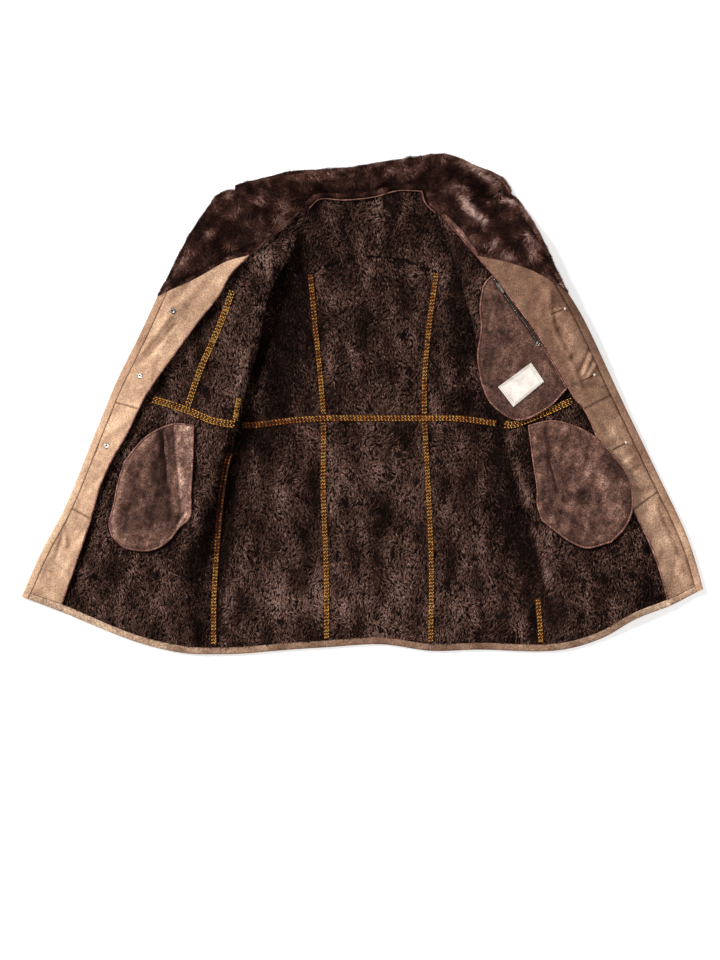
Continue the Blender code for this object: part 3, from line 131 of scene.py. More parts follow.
# Seam and edge lines: each row is a junction's name or a point that the line passes through
LINES = {
    "collar_top": ["collar_end_L", (-175, 382), (-128, 394), (-20, 402), (41, 412), (138, 424), (162, 420),
        (189, 407), (230, 391), "collar_end_R"],
    "collar_left": ["notch_L", "collar_end_L"],
    "collar_right": ["notch_R", (253, 366), "collar_end_R"],
    "gorge_L": ["lapel_top_L", (-235, 361), "notch_L", (-170, 348), "neck_L"],
    "gorge_R": ["neck_top_R", (158, 360), (197, 350), "notch_R"],
    "neck": ["neck_L", (-74, 350), (-29, 349), (19, 354), (61, 365), "neck_top_R"],
    "neck_side": ["neck_top_R", (110, 343), "neck_R"],
    "lapel_out_L": ["lapel_tip_L", (-330, 215), (-299, 276), (-272, 319), "lapel_top_L"],
    "lapel_out_R": ["lapel_tip_R", (330, 229), (306, 281), (279, 327), (264, 349), "notch_R"],
    "lapel_low_L": ["lapel_tip_L", "band_top_L", (-282, 212), (-230, 241), "lapel_in_L"],
    "lapel_low_R": ["lapel_in_R", (258, 237), (301, 220), "band_top_R", "lapel_tip_R"],
    "roll_L": ["lapel_in_L", (-175, 263), (-156, 281), "roll_top_L"],
    "roll_R": ["lapel_in_R", (173, 276), "roll_top_R"],
    "fold_L": ["neck_L", (-105, 298), (-120, 260), "back_yoke_L", "front_yoke_L", (-167, 150), (-173, 113),
        (-187, 59), (-201, 10), "waist_L"],
    "fold_R": ["neck_R", (146, 278), "back_yoke_R", "front_yoke_R", (190, 133), (198, 71), (210, 10),
        "waist_R"],
    "side_L": ["waist_L", (-220, -71), (-230, -101), (-241, -170), (-246, -232), (-252, -332), "side_hem_L"],
    "side_R": ["waist_R", (248, -79), (265, -147), (283, -207), (293, -266), (299, -326), "side_hem_R"],
    "yoke": ["back_yoke_L", (-112, 225), "panel_top_L", (-53, 237), (-7, 250), (41, 250), (82, 242),
        "panel_top_R", "back_yoke_R"],
    "panel_up_L": ["panel_top_L", (-81, 145), (-72, 59), "panel_waist_L"],
    "panel_low_L": ["panel_waist_L", (-66, -149), (-61, -275), "panel_hem_L"],
    "panel_up_R": ["panel_top_R", (115, 139), (107, 50), "panel_waist_R"],
    "panel_low_R": ["panel_waist_R", (113, -149), (118, -275), "panel_hem_R"],
    "front_yoke_L": ["dart_top_L", (-190, 193), "front_yoke_L"],
    "front_yoke_R": ["front_yoke_R", (200, 196), "dart_top_R"],
    "dart_L": ["dart_top_L", (-235, 149), (-252, 108), (-274, 59), "dart_waist_L"],
    "dart_R": ["dart_top_R", (241, 149), (261, 99), (281, 48), "dart_waist_R"],
    "shoulder_L": ["dart_top_L", "lapel_in_L"],
    "shoulder_R": ["lapel_in_R", "dart_top_R"],
    "waist_front_L": ["waist_edge_L", (-390, 15), "facing_waist_L", (-352, 6), "dart_waist_L", (-252, -30),
        "waist_L"],
    "waist_back": ["waist_L", (-177, -36), (-122, -29), "panel_waist_L", (22, -25), "panel_waist_R",
        (170, -26), "waist_R"],
    "waist_front_R": ["waist_R", (252, -37), (271, -32), "dart_waist_R", "facing_waist_R", (388, 18),
        "waist_edge_R"],
    "facing_in_L": ["lapel_in_L", (-224, 218), (-243, 183), (-274, 144), (-325, 74), (-350, 40),
        "facing_waist_L", "facing_join_L", (-401, -55), (-423, -92), (-445, -140), "facing_skirt_L",
        (-478, -247), "facing_hem_L"],
    "facing_in_R": ["lapel_in_R", (224, 217), (262, 166), (296, 120), (323, 76), (345, 37), "facing_waist_R",
        "facing_join_R", (406, -74), (430, -122), "facing_skirt_R", (493, -247), (508, -290), "facing_hem_R"],
    "band_in_L": ["band_top_L", (-367, 109), (-404, 35), "waist_edge_L", "band_join_L", (-447, -67),
        "band_skirt_L", (-535, -259), "band_hem_L"],
    "band_in_R": ["band_top_R", (362, 143), (402, 59), "waist_edge_R", "band_join_R", (488, -119),
        "band_skirt_R", (539, -225), (556, -273), "band_hem_R"],
    "edge_L": ["lapel_tip_L", (-379, 115), (-418, 37), (-459, -62), (-505, -174), (-547, -254), "corner_L"],
    "edge_R": ["lapel_tip_R", (374, 149), (439, 13), (500, -113), (551, -220), (568, -269), "corner_R"],
    "facing_join_L": ["band_join_L", "facing_join_L"],
    "facing_join_R": ["facing_join_R", "band_join_R"],
    "facing_skirt_L": ["band_skirt_L", "facing_skirt_L"],
    "facing_skirt_R": ["facing_skirt_R", "band_skirt_R"],
    "hem_in": ["band_hem_L", "facing_hem_L", (-397, -389), (-342, -405), (-293, -414), "side_hem_L",
        (-207, -414), (-122, -407), "panel_hem_L", (34, -398), "panel_hem_R", (201, -407), "side_hem_R",
        (351, -405), (404, -388), (463, -355), "facing_hem_R", "band_hem_R"],
    "hem_out": ["hem_in_L", (-513, -354), (-401, -400), (-345, -417), (-294, -426), "hem_side_L",
        (-207, -426), (-122, -419), "hem_panel_L", (34, -410), "hem_panel_R", (201, -419), "hem_side_R",
        (354, -417), (410, -399), (468, -366), (525, -344), "hem_in_R"],
    "hem_tip_L": ["corner_L", "hem_in_L"],
    "hem_tip_R": ["hem_in_R", "corner_R"],
}

# Outlines of the flat bags: each side runs left to right or bottom to top
BAGS = {
    "pocket_bag_L": {
        "top": [(-402, -98), (-372, -62), (-345, -44), (-316, -35), (-286, -38)],
        "bottom": [(-424, -226), (-401, -245), (-359, -249), (-332, -236), (-311, -211)],
        "left": [(-424, -226), (-429, -206), (-421, -171), (-414, -135), (-402, -98)],
        "right": [(-311, -211), (-293, -193), (-291, -152), (-288, -100), (-286, -38)],
    },
    "pocket_bag_R": {
        "top": [(283, -38), (321, -30), (359, -38), (393, -56), (420, -80)],
        "bottom": [(306, -198), (325, -213), (352, -233), (381, -245), (423, -235)],
        "left": [(306, -198), (298, -170), (298, -147), (291, -98), (283, -38)],
        "right": [(423, -235), (448, -208), (459, -174), (452, -124), (420, -80)],
    },
    "inner_pocket": {
        "top": [(206, 198), (212, 208), (219, 217)],
        "bottom": [(204, 33), (219, 1), (263, -28), (312, -8), (341, 24)],
        "left": [(204, 33), (197, 82), (203, 125), (201, 166), (206, 198)],
        "right": [(341, 24), (316, 70), (289, 113), (255, 159), (219, 217)],
    },
    "label": {
        "top": [(231, 28), (287, 69)],
        "bottom": [(257, -6), (309, 37)],
        "left": [(257, -6), (231, 28)],
        "right": [(309, 37), (287, 69)],
    },
}

# How each sleeve lies under its front: the shoulder end and the cuff end of its middle line
SLEEVES = {
    "L": {"shoulder": (-239, 236), "cuff": (-374, -320)},
    "R": {"shoulder": (255, 236), "cuff": (404, -320)},
}
# places along the sleeve from 0 to 1, with its half-width and its height on each side there
SLEEVE_ALONG = (0.0, 0.15, 0.35, 0.6, 1.0)
SLEEVE_HALF_WIDTH = (62.0, 80.0, 78.0, 75.0, 70.0)
SLEEVE_HEIGHT = {"L": (32.0, 32.0, 31.0, 25.0, 20.0), "R": (27.0, 27.0, 26.0, 23.0, 20.0)}
SLEEVE_MARGIN = (0.4, 0.5, 1.3, 2.2, 2.2)
SLEEVE_OUTER_DRAPE = 90.0
SLEEVE_OUTER_START = 20.0
# y down the inner fold of each front, the share of the sleeve's height that its edge keeps,
# and the width over which it rolls up to the full height
FOLD_Y = (336, 300, 250, 190, 110, 37, -37, -101, -169, -225, -269, -330)
FOLD_SHARE = {
    "L": (0.0, 0.5, 0.75, 0.8, 0.8, 0.6, 0.3, 0.25, 0.1, 0.0, 0.0, 0.0),
    "R": (0.0, 0.3, 0.45, 0.55, 0.55, 0.6, 0.6, 0.6, 0.45, 0.28, 0.1, 0.0),
}
FOLD_ROLL = {
    "L": (14, 14, 12, 12, 12, 12, 12, 14, 20, 32, 45, 55),
    "R": (14, 14, 14, 16, 16, 16, 14, 12, 14, 20, 34, 50),
}

# The largest soft folds of each layer: start x and y, end x and y, height and half-width
BACK_FOLDS = (
    (-151, 99, -166, 30, 8.0, 16.0), (141, 176, 153, 14, 6.0, 24.0), (-211, -241, -114, -127, 4.5, 30.0),
    (184, -88, 236, -334, 4.5, 28.0), (-60, 300, 70, 320, 3.0, 30.0),
)
FRONT_FOLDS = (
    (-470, -300, -330, -250, 4.0, 32.0), (400, -290, 330, -360, 4.0, 30.0),
    (-450, -120, -500, -260, 2.5, 26.0), (452, -60, 520, -230, 2.5, 26.0),
)

# Press buttons through the left front, and the slits that they fasten in
BUTTONS = ((-322, 157), (-377, 47), (-433, -72))
BUTTONHOLES = (((321, 152), (346, 161)), ((371, 37), (396, 49)), ((426, -79), (450, -66)))
BUTTONHOLE_WIDTH = 2.2

# The inner pocket's zip: middle line, and the width and thickness of its tape
ZIP_LINE = ((224, 211), (256, 163), (289, 118), (299, 102))
ZIP_TAPE_WIDTH = 6.0
ZIP_TAPE = 1.2


# ---- seam lines ----------------------------------------------------------------------------------

def point(entry):
    return np.array(JUNCTIONS[entry] if isinstance(entry, str) else entry, float)


# steps of a fine line between each two of its points
STEPS = 24


def spline(points, steps=STEPS):
    """A smooth line through the points."""
    points = np.array(points, float)
    if len(points) == 2:
        share = np.linspace(0, 1, steps + 1)[:, None]
        return points[0] * (1 - share) + points[1] * share
    chord = np.linalg.norm(np.diff(points, axis=0), axis=1) ** 0.5
    knots = np.concatenate([[0], np.cumsum(chord)])
    slopes = np.gradient(points, knots, axis=0)
    share = np.arange(steps)[:, None] / steps
    pieces = []
    for i in range(len(points) - 1):
        span = knots[i + 1] - knots[i]
        a, b = points[i], points[i + 1]
        ma, mb = slopes[i] * span, slopes[i + 1] * span
        s2, s3 = share ** 2, share ** 3
        pieces.append(a * (2 * s3 - 3 * s2 + 1) + ma * (s3 - 2 * s2 + share)
                      + b * (3 * s2 - 2 * s3) + mb * (s3 - s2))
    return np.concatenate([*pieces, points[-1:]])


def seam_line(name, steps=STEPS):
    return spline([point(row) for row in LINES[name]], steps)


def steps_along(line):
    """The lengths of a line's steps."""
    return np.linalg.norm(np.diff(line, axis=0), axis=1)


def spaced(line, shares):
    """Points of a fine line at these shares of its length."""
    reached = np.concatenate([[0], np.cumsum(steps_along(line))])
    at = np.asarray(shares) * reached[-1]
    return np.stack([np.interp(at, reached, line[:, i]) for i in (0, 1)], axis=1)


def stretch(name, start, end, shares):
    """The part of a named line from one of its junctions to another, at these shares."""
    first, last = LINES[name].index(start) * STEPS, LINES[name].index(end) * STEPS
    line = seam_line(name)
    return spaced(line[last:first + 1][::-1] if first > last else line[first:last + 1], shares)


def run(shares, *stretches):
    """One edge of a patch: either one stretch, or several joined and spaced as one."""
    fine = np.linspace(0, 1, 40)
    pieces = [stretch(*part, fine) for part in stretches]
    joined = np.concatenate([pieces[0], *[piece[1:] for piece in pieces[1:]]])
    return spaced(joined, shares)


def even(count):
    return np.linspace(0, 1, count + 1)


def coons(bottom, top, left, right):
    """The grid of points between four edges, as rows from the bottom to the top."""
    u = np.linspace(0, 1, len(bottom))[None, :, None]
    v = np.linspace(0, 1, len(left))[:, None, None]
    low, high, west, east = bottom[None], top[None], left[:, None], right[:, None]
    corners = ((1 - u) * (1 - v) * bottom[0] + u * (1 - v) * bottom[-1]
               + (1 - u) * v * top[0] + u * v * top[-1])
    return (1 - v) * low + v * high + (1 - u) * west + u * east - corners


# ---- how the coat lies ---------------------------------------------------------------------------

def smooth(t):
    t = np.clip(t, 0, 1)
    return t * t * (3 - 2 * t)


def bell(distance, width):
    """A soft bump: 1 in its middle, and falling off over this width."""
    return np.exp(-(distance / width) ** 2)


def unit(vectors):
    """The same directions, one long."""
    return vectors / np.maximum(np.linalg.norm(vectors, axis=-1, keepdims=True), 1e-9)


def headings(line):
    """The direction of a line at each of its points."""
    return unit(np.gradient(line, axis=0))


def left_of(ways):
    """Plan directions turned a quarter to the left."""
    return np.stack([-ways[:, 1], ways[:, 0]], axis=1)


def offset(line, distance):
    """A line moved to its left by a distance."""
    return line + left_of(headings(line)) * distance


def closed(rim):
    return np.concatenate([rim, rim[:1]])


def by_side(x, value):
    """A value that depends on which front each point is on."""
    return np.where(x < 0, value("L"), value("R"))


def distance_to(line, x, y):
    """Distance from each point to a fine line."""
    starts, ends = line[:-1], line[1:]
    along = ends - starts
    px = x[..., None] - starts[:, 0]
    py = y[..., None] - starts[:, 1]
    share = (px * along[:, 0] + py * along[:, 1]) / (along ** 2).sum(axis=1)
    share = np.clip(share, 0, 1)
    return np.hypot(px - share * along[:, 0], py - share * along[:, 1]).min(axis=-1)


def ridged(base, x, y, rows):
    """Adds soft folds along straight runs: a ridge, or a trough where the height is negative."""
    for x0, y0, x1, y1, height, width in rows:
        base = base + height * bell(distance_to(np.array([(x0, y0), (x1, y1)], float), x, y), width)
    return base


def sleeve_place(side, x, y):
    """Share of the sleeve's length, and distance out from its middle line to the front edge."""
    start = np.array(SLEEVES[side]["shoulder"], float)
    run_to = np.array(SLEEVES[side]["cuff"], float) - start
    length = np.linalg.norm(run_to)
    ahead = run_to / length
    outward = -1 if side == "L" else 1
    dx, dy = x - start[0], y - start[1]
    along = (dx * ahead[0] + dy * ahead[1]) / length
    across = outward * (-dx * ahead[1] + dy * ahead[0])
    return along, across


def sleeve_height(side, along):
    return np.interp(along, SLEEVE_ALONG, SLEEVE_HEIGHT[side])


def sleeve_half_width(along):
    return np.interp(along, SLEEVE_ALONG, SLEEVE_HALF_WIDTH)


INNER_EDGES = {side: np.concatenate([seam_line("fold_" + side, 5), seam_line("side_" + side, 5)[1:]])
               for side in "LR"}
FACING_EDGES = {side: seam_line("facing_in_" + side, 4) for side in "LR"}
FACING_FEET = {side: line[np.argmin(line[:, 1])] for side, line in FACING_EDGES.items()}


def sleeve_lift(side, x, y):
    """How far the front stands off the floor over its sleeve."""
    along, across = sleeve_place(side, x, y)
    half = sleeve_half_width(along)
    outer = smooth((half + SLEEVE_OUTER_DRAPE - SLEEVE_OUTER_START - across) / SLEEVE_OUTER_DRAPE)
    share, roll = (np.interp(-y, -np.array(FOLD_Y, float), table[side]) for table in (FOLD_SHARE, FOLD_ROLL))
    inner = share + (1 - share) * smooth(distance_to(INNER_EDGES[side], x, y) / roll)
    ends = smooth((along + 0.18) / 0.12) * smooth((1.15 - along) / 0.10)
    margin = np.interp(along, SLEEVE_ALONG, SLEEVE_MARGIN)
    return (sleeve_height(side, along) + margin) * outer * inner * ends


def front_height(x, y):
    """Top of the fur on the two fronts."""
    height = ridged(SHEARLING + by_side(x, lambda side: sleeve_lift(side, x, y)), x, y, FRONT_FOLDS)
    for bx, by in BUTTONS:
        height = height + BUTTON_RISE * np.exp(-((x - bx) ** 2 + (y - by) ** 2) / BUTTON_RISE_WIDTH ** 2)
    return height


def back_height(x, y):
    """Top of the fur on the back, which lies straight on the floor."""
    return ridged(np.full_like(x, SHEARLING), x, y, BACK_FOLDS)


def facing_height(x, y):
    """Top of the suede facings, whose inner edges stand clear of the fur and come down to the hem."""
    edge = by_side(x, lambda side: distance_to(FACING_EDGES[side], x, y))
    from_foot = by_side(x, lambda side: np.hypot(x - FACING_FEET[side][0], y - FACING_FEET[side][1]))
    rise = FACING_RISE * bell(edge, FACING_RISE_WIDTH) * smooth((from_foot - FOOT_CLEAR) / FOOT_TAPER)
    return front_height(x, y) + FACING_STAND + SUEDE + rise


def over(surface, x, y, reach):
    """The highest that a surface gets within reach of each point."""
    best = surface(x, y)
    for k in range(8):
        turn = math.pi * k / 4
        best = np.maximum(best, surface(x + reach * math.cos(turn), y + reach * math.sin(turn)))
    return best


def bag_grid(name, columns, rows):
    sides = {side: spline(points) for side, points in BAGS[name].items()}
    return coons(spaced(sides["bottom"], even(columns)), spaced(sides["top"], even(columns)),
                 spaced(sides["left"], even(rows)), spaced(sides["right"], even(rows)))


def facing_step(x, y):
    """Share of the facing's height that a pocket bag climbs as it passes onto the facing."""
    inside = seam_line("facing_in_R", 8)
    order = np.argsort(inside[:, 1])
    edge = np.interp(y, inside[order, 1], inside[order, 0])
    return smooth((x - edge + 26.0) / 16.0)


# how far round each point a bag keeps above the fur, and how far in from its rim it is full
BAG_REACH = 9.0


def inner_pocket_height(x, y):
    """Top of the inner pocket, whose lower corner lies on the waist tape."""
    climb = (TAPE + LAYER_GAP + 0.5) * smooth((40.0 - y) / 35.0)
    return over(front_height, x, y, BAG_REACH) + LAYER_GAP + climb + BAG


def trimmed(line, start, end):
    """A line shortened by these lengths at its ends, with the same number of points."""
    fine = spaced(line, np.linspace(0, 1, 200))
    total = steps_along(fine).sum()
    return spaced(fine, np.linspace(start / total, 1 - end / total, len(line)))


def side_seam_height(x, y):
    return np.maximum(back_height(x, y), front_height(x, y))


for end in "LR":
    LINES["neck_gap_" + end] = ["roll_top_" + end, "neck_" + end]
    LINES["hem_step_" + end] = ["hem_in_" + end, "band_hem_" + end]


# ---- materials -----------------------------------------------------------------------------------

def srgb(r, g, b):
    """Linear colour from the usual 0 to 255 numbers."""
    share = np.array([r, g, b]) / 255
    return tuple(np.where(share <= 0.04045, share / 12.92, ((share + 0.055) / 1.055) ** 2.4))


def fill_in(node, **values):
    """Sets inputs of a node; an underscore stands for a space in their names."""
    for name, value in values.items():
        node.inputs[name.replace("_", " ")].default_value = value


def plain(name, colour, roughness=0.7, metallic=0.0, shine=0.5, glint=(1, 1, 1)):
    made = bpy.data.materials.new(name)
    made.use_nodes = True
    fill_in(made.node_tree.nodes["Principled BSDF"], Base_Color=(*colour, 1), Roughness=roughness,
            Metallic=metallic, Specular_IOR_Level=shine, Specular_Tint=(*glint, 1))
    return made


def noise(tree, where, scale, detail=4.0, rough=0.55, distortion=0.0):
    made = tree.nodes.new("ShaderNodeTexNoise")
    fill_in(made, Scale=scale, Detail=detail, Roughness=rough, Distortion=distortion)
    tree.links.new(where.outputs["Object"], made.inputs["Vector"])
    return made


def ramp(tree, source, stops):
    made = tree.nodes.new("ShaderNodeValToRGB")
    elements = made.color_ramp.elements
    while len(elements) < len(stops):
        elements.new(0.5)
    for element, (place, colour) in zip(elements, stops):
        element.position = place
        element.color = (*colour, 1)
    tree.links.new(source, made.inputs["Fac"])
    return made


def mixed(tree, kind, factor, one, two):
    made = tree.nodes.new("ShaderNodeMix")
    made.data_type = "RGBA"
    made.blend_type = kind
    made.inputs["Factor"].default_value = factor
    tree.links.new(one, made.inputs["A"])
    tree.links.new(two, made.inputs["B"])
    return made.outputs["Result"]


def hide(name, dark, mid, light, patch=14.0, grain=380.0, roughness=0.92, relief=0.25, mottled=0.22,
         grained=0.4, shine=0.2):
    """Napped hide: broad worn patches, finer mottling, and a fine grain that also lifts the nap.

    Its colour is multiplied by the painted light and shade, with worn patches, stored on each point.
    """
    dark, mid, light = srgb(*dark), srgb(*mid), srgb(*light)
    made = plain(name, mid, roughness, shine=shine)
    tree = made.node_tree
    shader = tree.nodes["Principled BSDF"]
    where = tree.nodes.new("ShaderNodeTexCoord")
    broad = noise(tree, where, patch, 5.0, 0.6, 0.4)
    colours = ramp(tree, broad.outputs["Fac"], [(0.32, dark), (0.5, mid), (0.68, light)])
    mottle = noise(tree, where, patch * 7, 4.0, 0.6)
    spots = ramp(tree, mottle.outputs["Fac"], [(0.3, (1 - mottled,) * 3), (0.7, (1 + mottled,) * 3)])
    fine = noise(tree, where, grain, 3.0, 0.6)
    specks = ramp(tree, fine.outputs["Fac"], [(0.38, (1 - grained,) * 3), (0.62, (1 + grained,) * 3)])
    colour = mixed(tree, "MULTIPLY", 1.0, colours.outputs["Color"], spots.outputs["Color"])
    colour = mixed(tree, "MULTIPLY", 1.0, colour, specks.outputs["Color"])
    # the painted light and shade stored on each point, with its worn patches, darken or lighten the colour
    wear = tree.nodes.new("ShaderNodeAttribute")
    wear.attribute_name = "wear"
    colour = mixed(tree, "MULTIPLY", 1.0, colour, wear.outputs["Color"])
    tree.links.new(colour, shader.inputs["Base Color"])
    bump = tree.nodes.new("ShaderNodeBump")
    fill_in(bump, Strength=relief, Distance=MM)
    height = tree.nodes.new("ShaderNodeMath")
    tree.links.new(mottle.outputs["Fac"], height.inputs[0])
    tree.links.new(fine.outputs["Fac"], height.inputs[1])
    tree.links.new(height.outputs["Value"], bump.inputs["Height"])
    tree.links.new(bump.outputs["Normal"], shader.inputs["Normal"])
    return made


# tones of the fur and the plush from darkest to lightest: the darkest also serve as painted shade in the pile,
# the lightest as painted highlights
FUR_TONES = [(10, 5, 4), (24, 13, 10), (42, 26, 21), (64, 42, 35), (88, 61, 52), (114, 83, 72),
             (142, 108, 96), (172, 138, 124)]
PLUSH_TONES = [(16, 7, 6), (32, 16, 13), (50, 28, 23), (70, 42, 35), (94, 61, 52), (124, 88, 77),
               (162, 126, 114), (206, 174, 162)]
WARM = (1.0, 0.72, 0.6)
FUR = [plain(f"fur_{i}", srgb(*tone), 0.75, shine=0.12, glint=WARM) for i, tone in enumerate(FUR_TONES)]
PILE = [plain(f"plush_{i}", srgb(*tone), 0.7, shine=0.12, glint=WARM)
        for i, tone in enumerate(PLUSH_TONES)]
# the near-black hides under the fur and the plush are painted shade deep in the pile
UNDERFUR_SHADE = hide("underfur", (10, 5, 4), (18, 10, 8), (30, 18, 15), 30, 700, 0.95, relief=0.9,
                shine=0.05)
UNDERPLUSH_SHADE = hide("underplush", (20, 11, 9), (34, 20, 17), (52, 32, 27), 40, 700, 0.8, relief=0.9,
                  shine=0.1)
TAN = hide("tan_suede", (170, 134, 108), (184, 148, 120), (196, 160, 131), 16, 480, roughness=0.95,
           mottled=0.1, grained=0.32)
# the right front's suede is the tan suede painted darker, as shade
TAN_IN_SHADE = hide("brown_suede", (114, 83, 65), (134, 100, 80), (150, 116, 94), 16, 480, roughness=0.95,
             mottled=0.13, grained=0.38)
BAG_HIDE = hide("bag_suede", (64, 40, 33), (86, 58, 48), (110, 78, 66), 24, 420, 0.8, relief=0.7,
                mottled=0.3, grained=0.6)
HEM_HIDE = hide("hem_suede", (118, 88, 70), (146, 114, 93), (172, 140, 117), 24, roughness=0.93)
PIPING = hide("piping", (96, 60, 49), (140, 96, 82), (188, 142, 126), 90, 500, 0.6, grained=0.5)
ZIP_CLOTH = hide("zip_cloth", (30, 17, 13), (46, 28, 22), (64, 42, 34), 90, 500, 0.8)
TAPE_BASE = hide("tape_base", (22, 9, 4), (52, 25, 9), (84, 48, 16), 90, 600, 0.9)
LABEL_CLOTH = hide("label_cloth", (218, 206, 194), (236, 227, 217), (246, 240, 232), 40, 900,
                   0.9, relief=0.3, mottled=0.05, grained=0.08)
THREAD = plain("thread", srgb(70, 40, 30), 0.7)
LIGHT_THREAD = plain("light_thread", srgb(128, 92, 76), 0.7)
# a pale bar colour, painted as the glint at each buttonhole's end
GLINT_WHITE = plain("painted_glint", srgb(245, 240, 232), 0.5)
STITCH_TAN = plain("stitch_tan", srgb(150, 112, 84), 0.8)
# the right facing's thread is the tan thread painted darker, as shade
STITCH_TAN_IN_SHADE = plain("stitch_tan_in_shade", srgb(92, 66, 50), 0.8)
# tones of the braid's yarn from darkest to lightest: the lightest are painted glints and the darkest painted
# shade
GOLD_TONES = [(44, 18, 6), (130, 60, 14), (206, 112, 30), (255, 172, 62), (255, 210, 112)]
GOLD = [plain(f"gold_{i}", srgb(*tone), 0.45, shine=0.4) for i, tone in enumerate(GOLD_TONES)]
NICKEL = hide("nickel", (120, 116, 110), (185, 182, 176), (225, 222, 216), 300, 4000, 0.28,
              relief=0.1, mottled=0.1, grained=0.1, shine=0.5)
fill_in(NICKEL.node_tree.nodes["Principled BSDF"], Metallic=1.0)
NICKEL_PLAIN = plain("bright_nickel", srgb(232, 229, 224), 0.34, metallic=1.0)
# the dark eye of each press stud, painted as the shade in its hollow
HOLLOW_SHADE = plain("painted_hollow_shade", srgb(24, 20, 18), 0.5)
ZIP_METAL = plain("zip_metal", srgb(150, 145, 138), 0.3, metallic=1.0)
# the hide of each front and its slot: the right front's is the tan suede painted darker, as shade
SUEDES = {"L": (TAN, "tan_suede"), "R": (TAN_IN_SHADE, "brown_suede")}


# ---- building meshes -----------------------------------------------------------------------------

def place(x, y, z):
    """Millimetres on the laid-out coat to metres in the shared frame."""
    return np.stack([(x - ORIGIN_X) * MM, (y - ORIGIN_Y) * MM, z * MM], axis=-1)


def mesh_from(name, points, faces, materials, indices=None, smooth_faces=True):
    """An object from arrays of corner points and of faces with the same number of corners."""
    mesh = bpy.data.meshes.new(name)
    count, corners = faces.shape
    mesh.vertices.add(len(points))
    mesh.vertices.foreach_set("co", np.ascontiguousarray(points, np.float32).ravel())
    mesh.loops.add(count * corners)
    mesh.loops.foreach_set("vertex_index", np.ascontiguousarray(faces, np.int32).ravel())
    mesh.polygons.add(count)
    mesh.polygons.foreach_set("loop_start", np.arange(0, count * corners, corners, dtype=np.int32))
    for one in materials:
        mesh.materials.append(one)
    if indices is not None:
        mesh.polygons.foreach_set("material_index", np.ascontiguousarray(indices, np.int32))
    mesh.update(calc_edges=True)
    if smooth_faces:
        mesh.shade_smooth()
    made = bpy.data.objects.new(name, mesh)
    bpy.context.scene.collection.objects.link(made)
    return made


def grid_faces(rows, columns, offset=0, flip=False):
    at = np.arange(rows * columns).reshape(rows, columns) + offset
    quads = np.stack([at[:-1, :-1], at[:-1, 1:], at[1:, 1:], at[1:, :-1]], axis=-1).reshape(-1, 4)
    return quads[:, ::-1] if flip else quads


def rim_places(rows, columns):
    at = np.arange(rows * columns).reshape(rows, columns)
    return np.concatenate([at[0, :-1], at[:-1, -1], at[-1, :0:-1], at[:0:-1, 0]])


# powers of the stored painted light, shade and wear in red, green and blue
SHADE_AND_WEAR_WARMTH = np.array([1.0, 1.17, 1.21])


def shaded_and_worn(obj, wear=None):
    """Stores how light each point of a hide is, as painted light and shade with worn patches: 1 is its own
    colour, and darker points are warmer.
    """
    layer = obj.data.attributes.new("wear", "FLOAT_COLOR", "POINT")
    values = np.ones((len(obj.data.vertices), 4), np.float32)
    if wear is not None:
        count = min(wear.size, len(values))
        values[:count, :3] = wear.reshape(-1)[:count, None] ** SHADE_AND_WEAR_WARMTH
    layer.data.foreach_set("color", values.ravel())
    return obj


def finished(made, nodes=()):
    """Says what every piece rides on, and the CAD nodes that it replaces."""
    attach(made, BODY)
    if nodes:
        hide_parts(*nodes)
    return made


def shell(name, grid, top, under, material, nodes=(), second=None, wear=None):
    """A closed fine sheet between two heights over a grid. The second material is for its underside."""
    rows, columns = grid.shape[:2]
    count = rows * columns
    x, y = grid[..., 0], grid[..., 1]
    points = np.concatenate([place(x, y, top).reshape(-1, 3), place(x, y, under).reshape(-1, 3)])
    rim = rim_places(rows, columns)
    ahead = np.roll(rim, -1)
    sides = np.stack([rim, rim + count, ahead + count, ahead], axis=1)
    upper, lower = grid_faces(rows, columns), grid_faces(rows, columns, count, True)
    faces = np.concatenate([upper, lower, sides])
    indices = None
    materials = [material]
    if second is not None:
        materials.append(second)
        indices = np.concatenate([np.zeros(len(upper)), np.ones(len(lower)), np.zeros(len(sides))])
    made = mesh_from(name, points, faces, materials, indices)
    made.data.set_sharp_from_angle(angle=math.radians(60))
    return finished(shaded_and_worn(made, wear), nodes)


def spans(obj, grid):
    """Width and length of a shell's cloth in metres, and its area in square metres."""
    rows, columns = grid.shape[:2]
    points = np.empty(len(obj.data.vertices) * 3, np.float32)
    obj.data.vertices.foreach_get("co", points)
    grid = points.reshape(-1, 3)[:rows * columns].reshape(rows, columns, 3)
    wide = np.linalg.norm(np.diff(grid, axis=1), axis=-1).sum(axis=1).max()
    long = np.linalg.norm(np.diff(grid, axis=0), axis=-1).sum(axis=0).max()
    a, b, c, d = grid[:-1, :-1], grid[:-1, 1:], grid[1:, 1:], grid[1:, :-1]
    area = np.linalg.norm(np.cross(c - a, d - b), axis=-1).sum() / 2
    return float(wide), float(long), float(area)


# a strip narrower than this, in metres, has no fold in its area; the least share of a cut that is cloth
NARROW = 0.01
LEAST_FILL = 0.31


def sheet(obj, grid, extra=0.0):
    """Works out the width, length and area of a piece's cut, and keeps none of them: extra is what is folded
    away along each long side, in metres.
    """
    wide, long, area = spans(obj, grid)
    area += 2 * extra * max(wide, long) * (min(wide, long) > NARROW)
    if wide < long:
        wide += 2 * extra
    else:
        long += 2 * extra
    area = min(max(area, LEAST_FILL * wide * long), wide * long)


def shares_for(parts, cell=CELL, least=2):
    """Even shares that give cells of about this size along one edge."""
    length = steps_along(run(np.linspace(0, 1, 60), *parts)).sum()
    return even(max(least, int(round(length / cell))))


